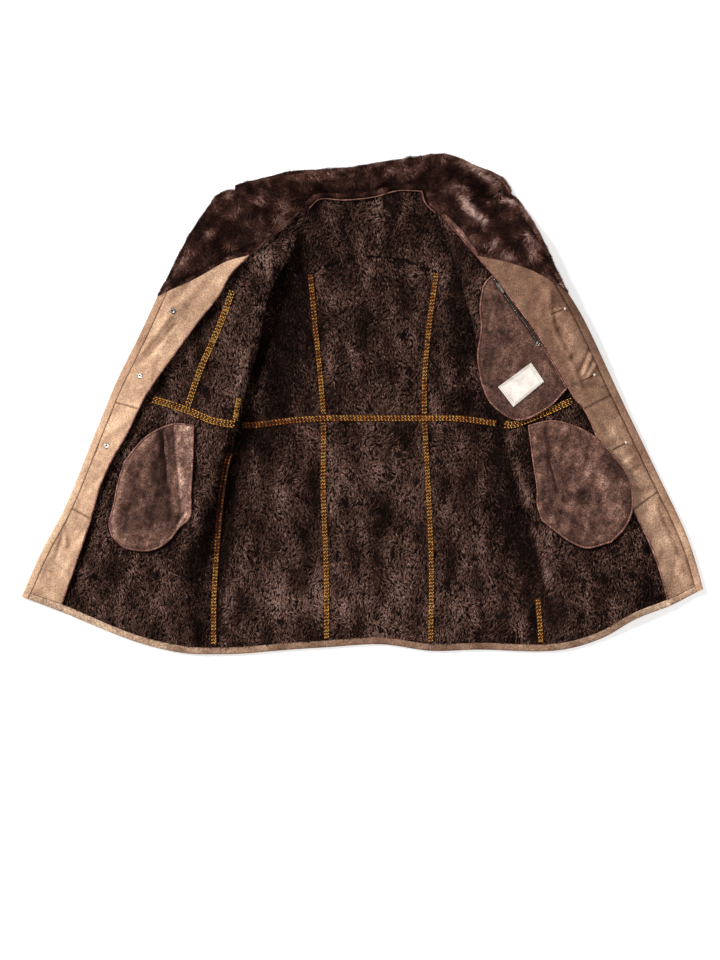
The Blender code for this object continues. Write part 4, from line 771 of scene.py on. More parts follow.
def cornered(shares, parts):
    """Points along joined stretches, with the nearest one moved to each corner between two of them."""
    points = run(shares, *parts)
    for _, _, end in parts[:-1]:
        corner = np.array(JUNCTIONS[end], float)[:2]
        points[np.argmin(np.linalg.norm(points - corner, axis=1))] = corner
    return points


def patch(bottom, top, left, right, cell=CELL):
    """A fine grid between four edges, each named by the stretches that it joins."""
    across = max((shares_for(bottom, cell), shares_for(top, cell)), key=len)
    up = max((shares_for(left, cell), shares_for(right, cell)), key=len)
    return coons(cornered(across, bottom), cornered(across, top), cornered(up, left), cornered(up, right))


def fine_inset(grid, gap=SEAM_GAP):
    """Draws the rim of a fine grid in towards its second row and column."""
    moved = grid.copy()
    for edge, inner in (((0, slice(None)), (1, slice(None))), ((-1, slice(None)), (-2, slice(None))),
                        ((slice(None), 0), (slice(None), 1)), ((slice(None), -1), (slice(None), -2))):
        way = grid[inner] - grid[edge]
        length = np.maximum(np.linalg.norm(way, axis=-1, keepdims=True), 1e-6)
        moved[edge] = moved[edge] + way / length * gap
    return moved


def waves(x, y, size, seed, count=20):
    """Smooth random relief with features of about this size, from about -1 to 1."""
    rng = np.random.default_rng(seed)
    total = np.zeros_like(x, dtype=float)
    for _ in range(count):
        turn = rng.uniform(0, 2 * math.pi)
        step = 2 * math.pi / (size * rng.uniform(0.7, 1.6) * 2)
        total += np.cos((x * math.cos(turn) + y * math.sin(turn)) * step + rng.uniform(0, 2 * math.pi))
    return total / math.sqrt(count / 2)


# ---- fur -----------------------------------------------------------------------------------------

def sampled(grid, top, spacing, rng):
    """Points spread over a surface, about this far apart, and the upright direction at each."""
    corners = np.concatenate([grid, top[..., None]], axis=-1)
    a, b, c, d = corners[:-1, :-1], corners[:-1, 1:], corners[1:, 1:], corners[1:, :-1]
    area = np.linalg.norm(np.cross(c - a, d - b), axis=-1).ravel() / 2
    reach = np.concatenate([[0], np.cumsum(area)])
    count = int(reach[-1] / spacing ** 2)
    at = (np.arange(count) + rng.uniform(0, 1, count)) / count * reach[-1]
    cell = np.clip(np.searchsorted(reach, at) - 1, 0, len(area) - 1)
    s, t = rng.uniform(0, 1, (2, count, 1))
    a, b, c, d = (part.reshape(-1, 3)[cell] for part in (a, b, c, d))
    spot = a * (1 - s) * (1 - t) + b * s * (1 - t) + c * s * t + d * (1 - s) * t
    return spot, unit(np.cross(b - a + c - d, d - a + c - b))


def pile(name, grid, top, kind, seed, bare, bias):
    """Locks of fur over a grid, as fine pointed leaves that lean together within each lock.

    kind is its row of PILES and its slot. bare is a list of (line, reach): no root stands within
    reach of the line. bias paints light and shade, making the fur lighter or darker from place to place.
    """
    look = PILES[kind]
    rng = np.random.default_rng(seed)
    spot, normal = sampled(grid, top, look["spacing"], rng)
    keep = np.ones(len(spot), bool)
    for line, reach in bare:
        keep &= distance_to(line, spot[:, 0], spot[:, 1]) > reach - 1.6
    spot, normal = spot[keep], normal[keep]
    x, y = spot[:, 0], spot[:, 1]
    turn = look["nap"] + look["swirl"] * waves(x, y, look["swirl_size"], 11)
    turn += look["stray"] * waves(x, y, 12.0, 12) + rng.normal(0, look["lock_turn"], len(x))
    lean = np.stack([np.cos(turn), np.sin(turn), np.zeros_like(turn)], axis=1)
    lean -= normal * (lean * normal).sum(axis=1, keepdims=True)
    lean = unit(lean)
    beside = np.cross(normal, lean)
    tone = look["tone"] + look["broad"] * waves(x, y * look["stretch"], look["patch"], 21)
    tone += 0.8 * look["broad"] * waves(x, y * look["stretch"], look["small"], 22)
    tone = np.maximum(tone + bias(x, y), DARKEST)
    tone += rng.normal(0, look["lock_tone"], len(x))
    tall = np.clip(1 + 0.22 * rng.normal(0, 1, len(x)), 0.5, 1.5)
    rim = rim_of(grid)[::3]
    tall *= 0.5 + 0.5 * np.clip(distance_to(rim, x, y) / look["rim"], 0, 1)

    each = look["each"]
    n = len(x) * each
    lock = np.repeat(np.arange(len(x)), each)
    out = rng.normal(0, look["long_gather"], n)
    side = rng.normal(0, look["gather"], n)
    root = spot[lock] + lean[lock] * out[:, None] + beside[lock] * side[:, None]
    root -= normal[lock] * look["sunk"]
    curl = (rng.normal(0, look["curl"], n) + 0.5 * look["curl"] * rng.normal(0, 1, len(x))[lock])[:, None]
    length = (look["length"] * tall[lock] * rng.uniform(0.75, 1.2, n))[:, None]
    deep = rng.uniform(0, 1, n) < look["deep"]
    length[deep] *= 0.8
    flat = rng.uniform(*look["flat"], n)[:, None]
    ridge_share = np.exp(-(side / (1.5 * look["gather"])) ** 2)[:, None]
    foot = root + normal[lock] * length * 0.25 * look["lift"] + lean[lock] * length * flat * 0.2
    drawn = look["drawn"]
    tip = root + normal[lock] * length * look["lift"] * (0.5 + 0.3 * ridge_share)
    tip += lean[lock] * (length * flat - out[:, None] * drawn * 0.5)
    tip += beside[lock] * (curl - side[:, None] * drawn)
    across = beside[lock] * rng.uniform(0.7, 1.3, n)[:, None] * look["width"] / 2
    across += normal[lock] * (side / look["gather"] * -0.22 * look["width"])[:, None]
    points = np.stack([foot - across, foot + across, tip], axis=1).reshape(-1, 3)
    points = place(points[:, 0], points[:, 1], np.maximum(points[:, 2], 0.3))
    faces = np.arange(n * 3).reshape(n, 3)
    # painted highlights on each lock's crest and on scattered glinting leaves, and painted shade on the deep
    # leaves
    shade = tone[lock] + rng.normal(0, look["hair_tone"], n) + look["crest"] * (ridge_share[:, 0] - 0.5)
    shade += (rng.uniform(0, 1, n) < look["flecks"]) * 1.5 - deep * 1.8
    indices = np.clip(np.round(shade), 0, len(look["materials"]) - 1).astype(int)
    return finished(mesh_from(name, points, faces, look["materials"], indices, False))


# the darkest usual tone of a lock
DARKEST = 0.7
# the looks of the pile: spacing of the locks and leaves in each, sizes and leans, and tones, with painted
# shade on the deep leaves and painted highlights on the crests and flecks
PILES = {
    "fur": {"materials": FUR, "spacing": 2.8, "each": 8, "length": 5.0, "width": 0.75, "sunk": 3.4,
            "nap": -1.6, "swirl": 0.4, "swirl_size": 60.0, "stray": 0.4, "lock_turn": 0.3, "gather": 0.6,
            "long_gather": 1.2, "curl": 0.45, "flat": (0.55, 1.05), "drawn": 0.4, "lift": 0.9, "tone": 3.3,
            "broad": 0.62, "patch": 36.0, "stretch": 0.5, "small": 15.0, "lock_tone": 0.45,
            "hair_tone": 1.2, "deep": 0.3, "crest": 0.7, "flecks": 0.09, "rim": 1.0},
    "plush": {"materials": PILE, "spacing": 2.3, "each": 11, "length": 7.6, "width": 0.65, "sunk": 4.0,
              "nap": -1.9, "swirl": 1.2, "swirl_size": 45.0, "stray": 0.2, "lock_turn": 0.12,
              "gather": 0.9, "long_gather": 1.2, "curl": 0.4, "flat": (0.7, 1.0), "drawn": 0.15,
              "lift": 0.65, "tone": 1.7, "broad": 0.7, "patch": 22.0, "stretch": 1.0, "small": 10.0,
              "lock_tone": 0.35, "hair_tone": 0.95, "deep": 0.12, "crest": 0.15, "flecks": 0.05, "rim": 4.0},
}


def blots(rows, x, y):
    """Sum of soft oval patches: centre, half-widths along and across, turn in degrees, amount."""
    total = np.zeros_like(x)
    for cx, cy, long, wide, turn, amount in rows:
        c, s = math.cos(math.radians(turn)), math.sin(math.radians(turn))
        u, v = ((x - cx) * c + (y - cy) * s) / long, ((y - cy) * c - (x - cx) * s) / wide
        total += amount * np.exp(-u * u - v * v)
    return total


FOLD_LINES = {side: run(even(80), ("side_" + side, "side_hem_" + side, "waist_" + side),
                        ("fold_" + side, "waist_" + side, "neck_" + side)) for side in "LR"}


def back_bias(x, y):
    """Painted light and shade of the back's fur, with painted shade in the valley beside each front's fold."""
    beside_fold = distance_to(FOLD_LINES["L" if x.mean() < 0 else "R"], x, y)
    return blots(BACK_SHADES, x, y) - 1.7 * bell(beside_fold, 13.0)


def front_bias(x, y):
    """Painted light and shade of the front's fur: painted shade at its inner edge and round the bags, and a
    painted highlight where it rolls over.
    """
    side = "L" if x.mean() < 0 else "R"
    rolled = 1.2 * bell(distance_to(FOLD_LINES[side], x, y) - 3.5, 4.0)
    around_bag = np.min([distance_to(rim, x, y) for rim in BAG_RIMS[side]], axis=0)
    shaded = 1.9 * bell(distance_to(INNER_EDGES[side], x, y), 8.0) + 1.8 * bell(around_bag, 4.5)
    return blots(FRONT_SHADES, x, y) + rolled - shaded


def plush_bias(x, y):
    return blots(PLUSH_SHADES, x, y)


# painted light and shade on the back's fur: lighter patches, and painted shade in the valleys beside the folds
BACK_SHADES = (
    (-128, 125, 150, 29, 81, -3.0), (-130, 60, 100, 36, 82, -2.2), (-85, 310, 60, 22, 90, -1.3),
    (178, 90, 110, 22, -85, -2.1), (95, 325, 30, 30, 0, -0.9), (-233, -198, 150, 18, 80, -3.4),
    (262, -215, 170, 17, -80, -2.4), (215, -130, 90, 22, -75, -0.9), (27, 230, 85, 9, 0, 0.9),
    (0, 130, 40, 22, 60, -0.5), (-37, -113, 75, 26, 90, 0.9), (31, -164, 75, 17, 80, -1.2),
    (65, -95, 30, 20, 0, 0.8), (-8, -240, 50, 8, 88, -0.9), (45, -345, 170, 38, 0, 1.5),
    (-156, -164, 115, 19, 63, 0.8), (-100, -232, 85, 9, 85, -0.7), (-150, -80, 42, 25, 0, -1.0),
    (130, -190, 80, 26, 80, 0.4), (-140, -330, 70, 40, 0, 1.4), (30, -130, 80, 60, 0, 0.8),
    (30, -300, 90, 45, 0, 0.4), (0, 200, 150, 90, 0, -0.2),
)

# the same on the fronts: painted highlights where they roll over at the folds, and painted shade in their
# valleys
FRONT_SHADES = (
    (-215, 75, 95, 26, 78, 1.3), (-190, 65, 80, 16, 80, 1.7), (-156, 270, 80, 26, 56, 1.8),
    (-270, -96, 70, 14, 85, 0.9), (-258, -90, 40, 26, 80, 0.6), (-330, -275, 42, 20, -20, -0.8),
    (-364, -320, 55, 12, -60, 1.4), (-445, -317, 32, 24, 0, -0.5), (-309, -317, 42, 20, 80, -0.9),
    (-268, -235, 95, 15, 72, -2.6), (-302, -235, 90, 10, 70, 1.3), (-392, -285, 50, 12, 60, 1.3),
    (299, -236, 135, 5, -75.5, 1.5), (286, -240, 120, 8, -75.5, -1.7), (312, -330, 40, 9, -76, -1.2),
    (405, -317, 36, 20, 10, 0.3), (158, 291, 55, 10, -53, 1.1), (207, 142, 75, 9, -85, 0.7),
    (330, -265, 40, 20, 0, -0.4), (420, -250, 60, 30, -60, -0.5), (-290, 20, 60, 20, 60, -0.3),
    (262, -80, 50, 18, -80, -0.8), (394, -310, 90, 50, 0, -0.1), (-240, 110, 60, 14, 75, 0.5),
    (-300, 60, 60, 10, 62, 0.6), (-380, -290, 50, 10, 40, 0.8),
)

# the same on the plush: lighter tips where the collar and lapels turn towards the light, and its dark troughs
PLUSH_SHADES = (
    (-216, 320, 22, 12, 20, 2.6), (-260, 278, 18, 10, 30, 2.2), (-308, 240, 26, 12, 50, 2.8),
    (-170, 346, 22, 10, 0, 1.6), (-80, 386, 80, 12, 7, 2.6), (186, 334, 34, 10, -36, 5.0),
    (160, 366, 17, 12, -30, 3.2), (205, 318, 36, 13, -32, 1.8), (190, 285, 16, 8, -35, 2.4),
    (226, 277, 20, 9, -10, 3.2), (215, 388, 30, 12, -25, 2.6), (300, 300, 40, 8, -60, 1.6),
    (90, 402, 60, 9, 6, 1.8), (-140, 300, 30, 10, 45, 1.6), (60, 372, 60, 9, 4, -1.0),
    (250, 345, 34, 8, -35, 2.4), (285, 258, 30, 8, -50, 2.2), (-232, 354, 22, 9, 10, 2.8),
    (221, 351, 32, 3.5, 8, -2.4), (246, 343, 28, 5, -15, 2.6), (-129, 334, 14, 10, 0, 2.0),
    (-146, 315, 12, 12, 0, 2.2), (-163, 283, 16, 10, 50, 2.2), (250, 248, 18, 11, -20, 3.2),
    (290, 283, 24, 7, -40, 2.6), (196, 396, 46, 7, -32, 2.4), (325, 208, 26, 8, -60, 1.8),
    (240, 305, 45, 14, -45, -1.2), (-230, 290, 60, 14, 45, -0.9), (-280, 215, 50, 12, 50, -0.6),
    (190, 372, 24, 9, -35, -1.2), (-30, 366, 90, 8, 3, -0.8), (120, 330, 30, 12, -50, 0.8),
    (-175, 300, 16, 8, 50, 1.4), (130, 400, 22, 14, -10, -0.6),
)

# painted light and shade of the hides, as shares of their own colour
HIDE_SHADES = {
    "facing_L": (
        (-318, 172, 16, 10, -20, -0.22), (-300, 200, 22, 8, 60, -0.16), (-365, 92, 40, 6, 52, -0.2),
        (-352, 110, 34, 6, 52, 0.1), (-386, 60, 14, 8, 0, -0.1), (-425, -30, 40, 12, 65, 0.06),
        (-505, -215, 30, 5, 75, -0.14), (-520, -260, 40, 20, 60, 0.08), (-470, -150, 26, 14, 60, 0.1),
        (-540, -318, 30, 10, -15, 0.06),
    ),
    "facing_R": (
        (300, 200, 60, 26, -50, -0.14), (350, 160, 60, 30, -60, -0.1), (336, 176, 20, 16, 0, -0.22),
        (344, 128, 34, 7, -62, 0.12), (352, 92, 40, 6, -55, 0.2), (330, 120, 30, 6, -55, -0.12),
        (388, 60, 26, 6, 60, 0.16), (372, 62, 26, 4, 62, -0.2), (398, 20, 30, 16, 0, -0.06),
        (430, -60, 70, 34, -65, 0.42), (470, -170, 70, 40, -65, 0.5), (520, -260, 80, 40, -65, 0.6),
        (350, 120, 90, 8, -62, 0.3), (462, -196, 20, 10, 0, 0.1), (505, -250, 24, 12, 0, -0.12),
        (536, -295, 36, 26, -65, 0.35), (498, -218, 24, 18, -65, -0.22), (454, -108, 30, 16, -65, 0.45),
    ),
    "pocket_bag_L": (
        (-408, -120, 75, 14, 74, 1.7), (-424, -215, 30, 12, 60, 1.7), (-333, -85, 55, 13, 96, -0.62),
        (-360, -160, 60, 30, 80, -0.35), (-334, -60, 24, 12, 90, -0.3), (-378, -75, 30, 10, 60, 0.5),
        (-325, -228, 30, 8, 40, 1.2), (-390, -236, 40, 10, -10, 0.8), (-372, -222, 26, 8, -10, 0.4),
        (-372, -150, 50, 5, 84, 0.5),
    ),
    "pocket_bag_R": (
        (370, -140, 90, 60, -70, 0.14), (374, -105, 60, 22, -60, 0.7), (337, -130, 40, 9, -68, -0.8),
        (349, -158, 10, 7, 0, -0.6), (414, -150, 50, 14, -60, 0.35), (440, -185, 30, 8, -80, 0.4),
        (345, -80, 50, 6, -65, -0.3), (352, -205, 26, 12, -30, -0.1), (322, -110, 60, 8, -78, 0.1),
        (392, -215, 40, 16, 0, 0.25), (362, -178, 30, 12, -60, 0.2), (395, -190, 16, 8, 0, -0.2),
    ),
    "inner_pocket": (
        (250, 80, 120, 80, 80, -0.12), (240, 120, 90, 30, 80, 0.06), (270, 30, 70, 20, 0, -0.1),
        (222, 60, 70, 10, -82, 0.12), (300, 80, 60, 10, -58, 0.1),
    ),
}


# painted light and shade of a hide from its table, with a fine mottle of its own tone
def wear_of(name, x, y):
    key = "facing_" + name[-1] if name.startswith("facing") else name
    amount = 0.05 if name.startswith("facing") else 0.16
    fine = amount * (waves(x, y, 6.0, 46) + waves(x, y, 16.0, 47))
    return np.clip(1 + blots(HIDE_SHADES.get(key, ()), x, y), 0.25, 3.0) * (1 + fine)


# how far out past the fold each row of the rolled fur lies, its share of the height, and its least height
ROLLED_FUR = ((0.8, 0.86), (1.5, 0.68), (1.9, 0.48), (2.1, 0.3))
LOWEST_ROLL = 6.0


def rolled_over(grid, top, edge):
    """Adds the fur that rolls down over a fold, from its top to just above the surface below."""
    way = unit(grid[:, edge] - grid[:, 1 if edge == 0 else -2])
    new = np.stack([grid[:, edge] + way * out for out, _ in ROLLED_FUR], axis=1)
    down = np.stack([np.maximum(top[:, edge] * share, LOWEST_ROLL) for _, share in ROLLED_FUR], axis=1)
    if edge == 0:
        return np.concatenate([new[:, ::-1], grid], axis=1), np.concatenate([down[:, ::-1], top], axis=1)
    return np.concatenate([grid, new], axis=1), np.concatenate([top, down], axis=1)


# ---- the coat ------------------------------------------------------------------------------------

# how deep the underfur lies in the fur, and the least thickness of a hide
SKIN_DEPTH = 4.2
LEAST_SKIN = 1.5


def furred(name, grid, surface, seed, bare, turned_edge=None, cover=slice(None), rests_on="floor"):
    """A shearling panel: a hide with dark underfur as painted shade, and the locks that stand on the covered
    part.
    """
    x, y = grid[..., 0], grid[..., 1]
    top = surface(x, y)
    under = np.where(top - SHEARLING < PILE_GIVE, 0.0, top - SHEARLING)
    if turned_edge is not None:
        under[:, turned_edge] = 0.0
    skin = np.maximum(top - SKIN_DEPTH + 0.9 * waves(x, y, 9.0, 31), under + LEAST_SKIN)
    body = shell(name + "_hide", grid, skin, under, UNDERFUR_SHADE, [name], TAN if x.mean() < 0 else TAN_IN_SHADE)
    top = top + 1.1 * waves(x, y * 0.6, 13.0, 33) - 0.8
    combed = grid
    if turned_edge is not None:
        combed, top = rolled_over(grid, top, turned_edge)
    bias = back_bias if surface is back_height else front_bias
    locks = pile(name + "_fur", combed[cover], top[cover], "fur", seed, bare, bias)
    sheet(body, grid)


# how far the tapes over the upright seams stop from the middle of the waist's
CLEAR = WAIST_TAPE_WIDTH / 2 + 1.0
# surface, seam, its two ends, number of cells, and what is cut off at each end
TAPE_SEAMS = {
    "tape_waist_front_L": (front_height, "waist_front_L", "facing_waist_L", "waist_L", 24, 14, 7),
    "tape_waist_back": (back_height, "waist_back", "waist_L", "waist_R", 60, 5, 6),
    "tape_waist_front_R": (front_height, "waist_front_R", "waist_R", "facing_waist_R", 24, 7, 5),
    "tape_back_upper_L": (back_height, "panel_up_L", "panel_top_L", "panel_waist_L", 32, 3, CLEAR),
    "tape_back_upper_R": (back_height, "panel_up_R", "panel_top_R", "panel_waist_R", 32, 3, CLEAR),
    "tape_back_lower_L": (back_height, "panel_low_L", "panel_waist_L", "panel_hem_L", 40, CLEAR, 3),
    "tape_back_lower_R": (back_height, "panel_low_R", "panel_waist_R", "panel_hem_R", 40, CLEAR, 3),
    "tape_front_L": (front_height, "dart_L", "dart_top_L", "dart_waist_L", 30, 3, CLEAR),
}
TAPES = {}
for name, (surface, line, from_end, to_end, count, *trims) in TAPE_SEAMS.items():
    TAPES[name] = (surface, trimmed(run(even(count), (line, from_end, to_end)), *trims),
                   WAIST_TAPE_WIDTH if "waist" in name else TAPE_WIDTH)
# from where down each side seam shows, as a share of its length
for end, hidden in (("L", 0.13), ("R", 0.80)):
    side_seam = run(np.linspace(hidden, 1, 33), ("side_" + end, "waist_" + end, "side_hem_" + end))
    TAPES["tape_side_" + end] = (side_seam_height, trimmed(side_seam, 0, 3), TAPE_WIDTH)
armhole_stub = run(np.linspace(0, 0.2, 9), ("fold_L", "waist_L", "front_yoke_L"))
TAPES["tape_armhole_L"] = (front_height, trimmed(armhole_stub, CLEAR + 1, 0) + np.array([-7.5, 0.0]),
                           TAPE_WIDTH - 2)


def shown_width(name):
    """How much of a tape's width shows: the fur grows over the rest, and least over the waist's front."""
    return TAPES[name][2] * (0.72 if "back" in name or "side" in name else 0.95)


def bare_of(*names):
    """Where no fur grows under the shown part of these tapes."""
    return [(TAPES[name][1][::2], shown_width(name) / 2) for name in names]


# the back's upright seams: waist junction, upper line and its top, lower line and its foot
BACK_SEAMS = (
    ("waist_L", "fold_L", "back_yoke_L", "side_L", "side_hem_L"),
    ("panel_waist_L", "panel_up_L", "panel_top_L", "panel_low_L", "panel_hem_L"),
    ("panel_waist_R", "panel_up_R", "panel_top_R", "panel_low_R", "panel_hem_R"),
    ("waist_R", "fold_R", "back_yoke_R", "side_R", "side_hem_R"),
)


def build_back():
    yoke_top = [("neck", "neck_L", "neck_top_R"), ("neck_side", "neck_top_R", "neck_R")]
    yoke_low = ("yoke", "back_yoke_L", "back_yoke_R")
    grid = patch([yoke_low], yoke_top, [("fold_L", "back_yoke_L", "neck_L")],
                 [("fold_R", "back_yoke_R", "neck_R")])
    along_yoke = [(run(even(40), yoke_low), 3.6)]
    furred("back_yoke", grid, back_height, 1, [(run(even(30), *yoke_top), 4.5)] + along_yoke)
    upper_bare = along_yoke + bare_of("tape_waist_back", "tape_back_upper_L", "tape_back_upper_R")
    lower_bare = bare_of("tape_waist_back", "tape_back_lower_L", "tape_back_lower_R", "tape_side_L",
                         "tape_side_R")
    for level, seed, bare in (("upper", 2, upper_bare), ("lower", 6, lower_bare)):
        for i, (left, right) in enumerate(zip(BACK_SEAMS, BACK_SEAMS[1:])):
            waist = [("waist_back", left[0], right[0])]
            if level == "upper":
                grid = patch(waist, [("yoke", left[2], right[2])],
                             *([(row[1], row[0], row[2])] for row in (left, right)))
            else:
                grid = patch([("hem_in", left[4], right[4])], waist,
                             *([(row[3], row[4], row[0])] for row in (left, right)))
            name = f"back_{level}_" + ("side_L", "middle", "side_R")[i]
            furred(name, grid, back_height, seed + i, bare)


def flipped(side, grid):
    return grid if side == "L" else grid[:, ::-1]


def edge_run(side, count, name, start, end):
    """One edge of a front's patch: names that end in _ take the front's letter."""
    return run(even(count), (name + side if name.endswith("_") else name, start + side, end + side))


def quad(side, columns, rows, bottom, top, outer, inner):
    """A fine patch of a front, drawn from its edge to its fold: bottom and top name their corners."""
    return coons(edge_run(side, columns, *bottom), edge_run(side, columns, *top),
                 edge_run(side, rows, outer, bottom[1], top[1]), edge_run(side, rows, inner, bottom[2], top[2]))


# lines across a front, each with its outer and inner corner
WAIST_EDGE = ("waist_front_", "waist_edge_", "facing_waist_")
JOIN_EDGE = ("facing_join_", "band_join_", "facing_join_")
SKIRT_EDGE = ("facing_skirt_", "band_skirt_", "facing_skirt_")
# the strips under the facings: number of cells up, lower line, upper line
FACING_STRIPS = {
    "upper": (40, WAIST_EDGE, ("lapel_low_", "band_top_", "lapel_in_")), "waist": (4, JOIN_EDGE, WAIST_EDGE),
    "middle": (30, SKIRT_EDGE, JOIN_EDGE), "lower": (24, ("hem_in", "band_hem_", "facing_hem_"), SKIRT_EDGE),
}
# number of cells across each strip, and how many of them the locks leave out under the facing
STRIP_CELLS = 14
COVERED_CELLS = 12


def build_front(side, seed):
    left = side == "L"
    open_part = (slice(None), slice(COVERED_CELLS, None) if left else slice(0, -COVERED_CELLS))
    laid = {"rests_on": "sleeve_top_" + side}
    turned = {"turned_edge": -1 if left else 0, **laid}
    strips = {part: quad(side, STRIP_CELLS, *row, "band_in_", "facing_in_")
              for part, row in FACING_STRIPS.items()}
    chest = quad(side, 13, 40, ("waist_front_", "facing_waist_", "dart_waist_"),
                 ("shoulder_", "lapel_in_", "dart_top_"), "facing_in_", "dart_")
    whole = flipped(side, np.concatenate([strips["upper"], chest[:, 1:]], axis=1))
    bare = bare_of("tape_waist_front_" + side, *(("tape_front_L", "tape_armhole_L") if left else ()))
    bare += [] if left else BAG_BARE["inner_pocket"]
    furred("front_upper_" + side, whole, front_height, seed, bare, cover=open_part, **laid)
    armhole = quad(side, 16, 40, ("waist_front_", "dart_waist_", "waist_"),
                   ("front_yoke_", "dart_top_", "front_yoke_"), "dart_", "fold_")
    furred("front_side_" + side, flipped(side, armhole), front_height, seed + 1, bare, **turned)
    outside = run(even(26), ("shoulder_" + side, "dart_top_" + side, "lapel_in_" + side),
                  ("roll_" + side, "lapel_in_" + side, "roll_top_" + side))
    yoke = coons(edge_run(side, 14, "front_yoke_", "dart_top_", "front_yoke_"),
                 edge_run(side, 14, "neck_gap_", "roll_top_", "neck_"), outside,
                 edge_run(side, 26, "fold_", "front_yoke_", "neck_"))
    furred("front_yoke_" + side, flipped(side, yoke), front_height, seed + 2, bare, **turned)

    strip = np.concatenate([strips["lower"], strips["middle"][1:], strips["waist"][1:]])
    skirt = coons(edge_run(side, 42, "hem_in", "facing_hem_", "side_hem_"),
                  edge_run(side, 42, "waist_front_", "facing_waist_", "waist_"), strip[:, -1],
                  edge_run(side, len(strip) - 1, "side_", "side_hem_", "waist_"))
    whole = flipped(side, np.concatenate([strip, skirt[:, 1:]], axis=1))
    bare = bare_of("tape_waist_front_" + side, "tape_side_" + side) + BAG_BARE["pocket_bag_" + side]
    furred("front_lower_" + side, whole, front_height, seed + 3, bare, cover=open_part, **turned)
    strips["upper"] = np.concatenate([strips.pop("waist"), strips["upper"][1:]])
    build_facings(side, strips)


# ---- facings, edges and hem ----------------------------------------------------------------------

def inner_points(name):
    """A fan of lines through a bag, so that fur keeps out of its whole area."""
    return [(row[1:-1], BAG_REACH) for row in bag_grid(name, 8, 12)[1:-1]]


def rim_of(grid):
    return grid.reshape(-1, 2)[rim_places(*grid.shape[:2])]


BAG_BARE = {name: inner_points(name) for name in BAGS}
BAG_RIMS = {side: [rim_of(bag_grid(name, 24, 32)) for name in names]
            for side, names in (("L", ["pocket_bag_L"]), ("R", ["pocket_bag_R", "inner_pocket"]))}

# soft troughs and ridges of the suede: start x and y, end x and y, height, half-width
CREASES = {
    "facing_L": (
        (-372, 88, -326, 148, 1.3, 5), (-362, 78, -318, 132, -1.1, 4), (-345, 70, -352, 40, -0.9, 5),
        (-262, 215, -300, 170, 0.9, 8), (-377, 46, -362, 12, 1.0, 4), (-318, 176, -296, 196, -1.3, 8),
        (-395, 56, -368, 62, 0.8, 5), (-430, -20, -462, -105, -1.0, 7), (-405, -35, -440, -60, 0.9, 6),
        (-470, -150, -440, -120, -0.9, 6), (-508, -198, -503, -240, 1.5, 4),
        (-502, -200, -520, -262, -1.3, 4), (-514, -215, -536, -250, 1.0, 4), (-480, -240, -512, -300, 0.8, 7),
        (-452, -188, -480, -230, -0.8, 5),
    ),
    "facing_R": (
        (318, 190, 324, 140, 1.4, 5), (324, 160, 330, 138, -1.2, 4), (326, 130, 352, 82, 1.5, 5),
        (352, 82, 372, 28, 1.4, 5), (334, 122, 358, 74, -1.2, 4), (376, 48, 392, 84, 1.4, 4),
        (372, 58, 386, 90, -1.1, 3.5), (384, 44, 404, 76, 1.2, 4), (362, 30, 410, 24, -0.9, 6),
        (300, 165, 330, 120, 0.8, 7), (400, -20, 440, -80, -1.0, 7), (420, -120, 462, -92, 1.2, 5),
        (432, -128, 470, -110, -1.0, 5), (440, -140, 485, -140, 0.9, 6), (500, -178, 532, -250, 0.8, 5),
        (507, -180, 545, -262, -0.6, 4), (480, -190, 500, -240, -0.9, 8), (530, -280, 552, -318, -0.9, 6),
    ),
    "pocket_bag_L": (
        (-337, -38, -327, -125, -3.0, 8), (-354, -60, -358, -190, 2.2, 13), (-327, -125, -322, -205, -1.6, 6),
        (-402, -110, -418, -215, 1.8, 14), (-306, -60, -310, -190, 1.2, 7), (-372, -215, -340, -232, -1.4, 6),
        (-300, -185, -322, -215, -1.3, 4), (-360, -150, -400, -190, -1.0, 8),
    ),
    "pocket_bag_R": (
        (318, -60, 334, -150, -1.8, 6), (325, -99, 350, -163, -3.0, 8), (345, -60, 366, -150, 2.2, 13),
        (366, -150, 352, -215, 1.6, 10), (386, -70, 408, -170, -1.2, 8), (400, -120, 436, -200, 1.6, 11),
        (340, -190, 400, -225, -1.4, 7), (300, -120, 306, -190, 1.0, 6), (384, -200, 396, -232, 1.0, 5),
    ),
    "inner_pocket": (
        (215, 170, 222, 60, -0.8, 9), (240, 150, 262, 60, 0.7, 12), (285, 90, 262, 20, -0.8, 9),
    ),
}


def refined(grid, times=2):
    """The same patch with finer cells."""
    for axis in (0, 1):
        count = grid.shape[axis]
        at = np.linspace(0, count - 1, (count - 1) * times + 1)
        low = np.minimum(at.astype(int), count - 2)
        share = (at - low)[:, None, None] if axis == 0 else (at - low)[None, :, None]
        grid = np.take(grid, low, axis) * (1 - share) + np.take(grid, low + 1, axis) * share
    return grid


# the plan direction that the light comes from
LIGHT_SIDE = (-0.81, 0.59)


def lit(height_at, x, y, amount=1.008):
    """How much lighter a napped hide looks where it turns to the light: 1 where it lies level."""
    dx, dy = LIGHT_SIDE[0] * SLOPE_STEP, LIGHT_SIDE[1] * SLOPE_STEP
    climb = height_at(x + dx, y + dy) - height_at(x - dx, y - dy)
    return 1 - np.clip(climb / (2 * SLOPE_STEP) * amount, -0.5, 0.5)


def creased(name, x, y):
    return ridged(np.zeros_like(x), x, y, CREASES[name])


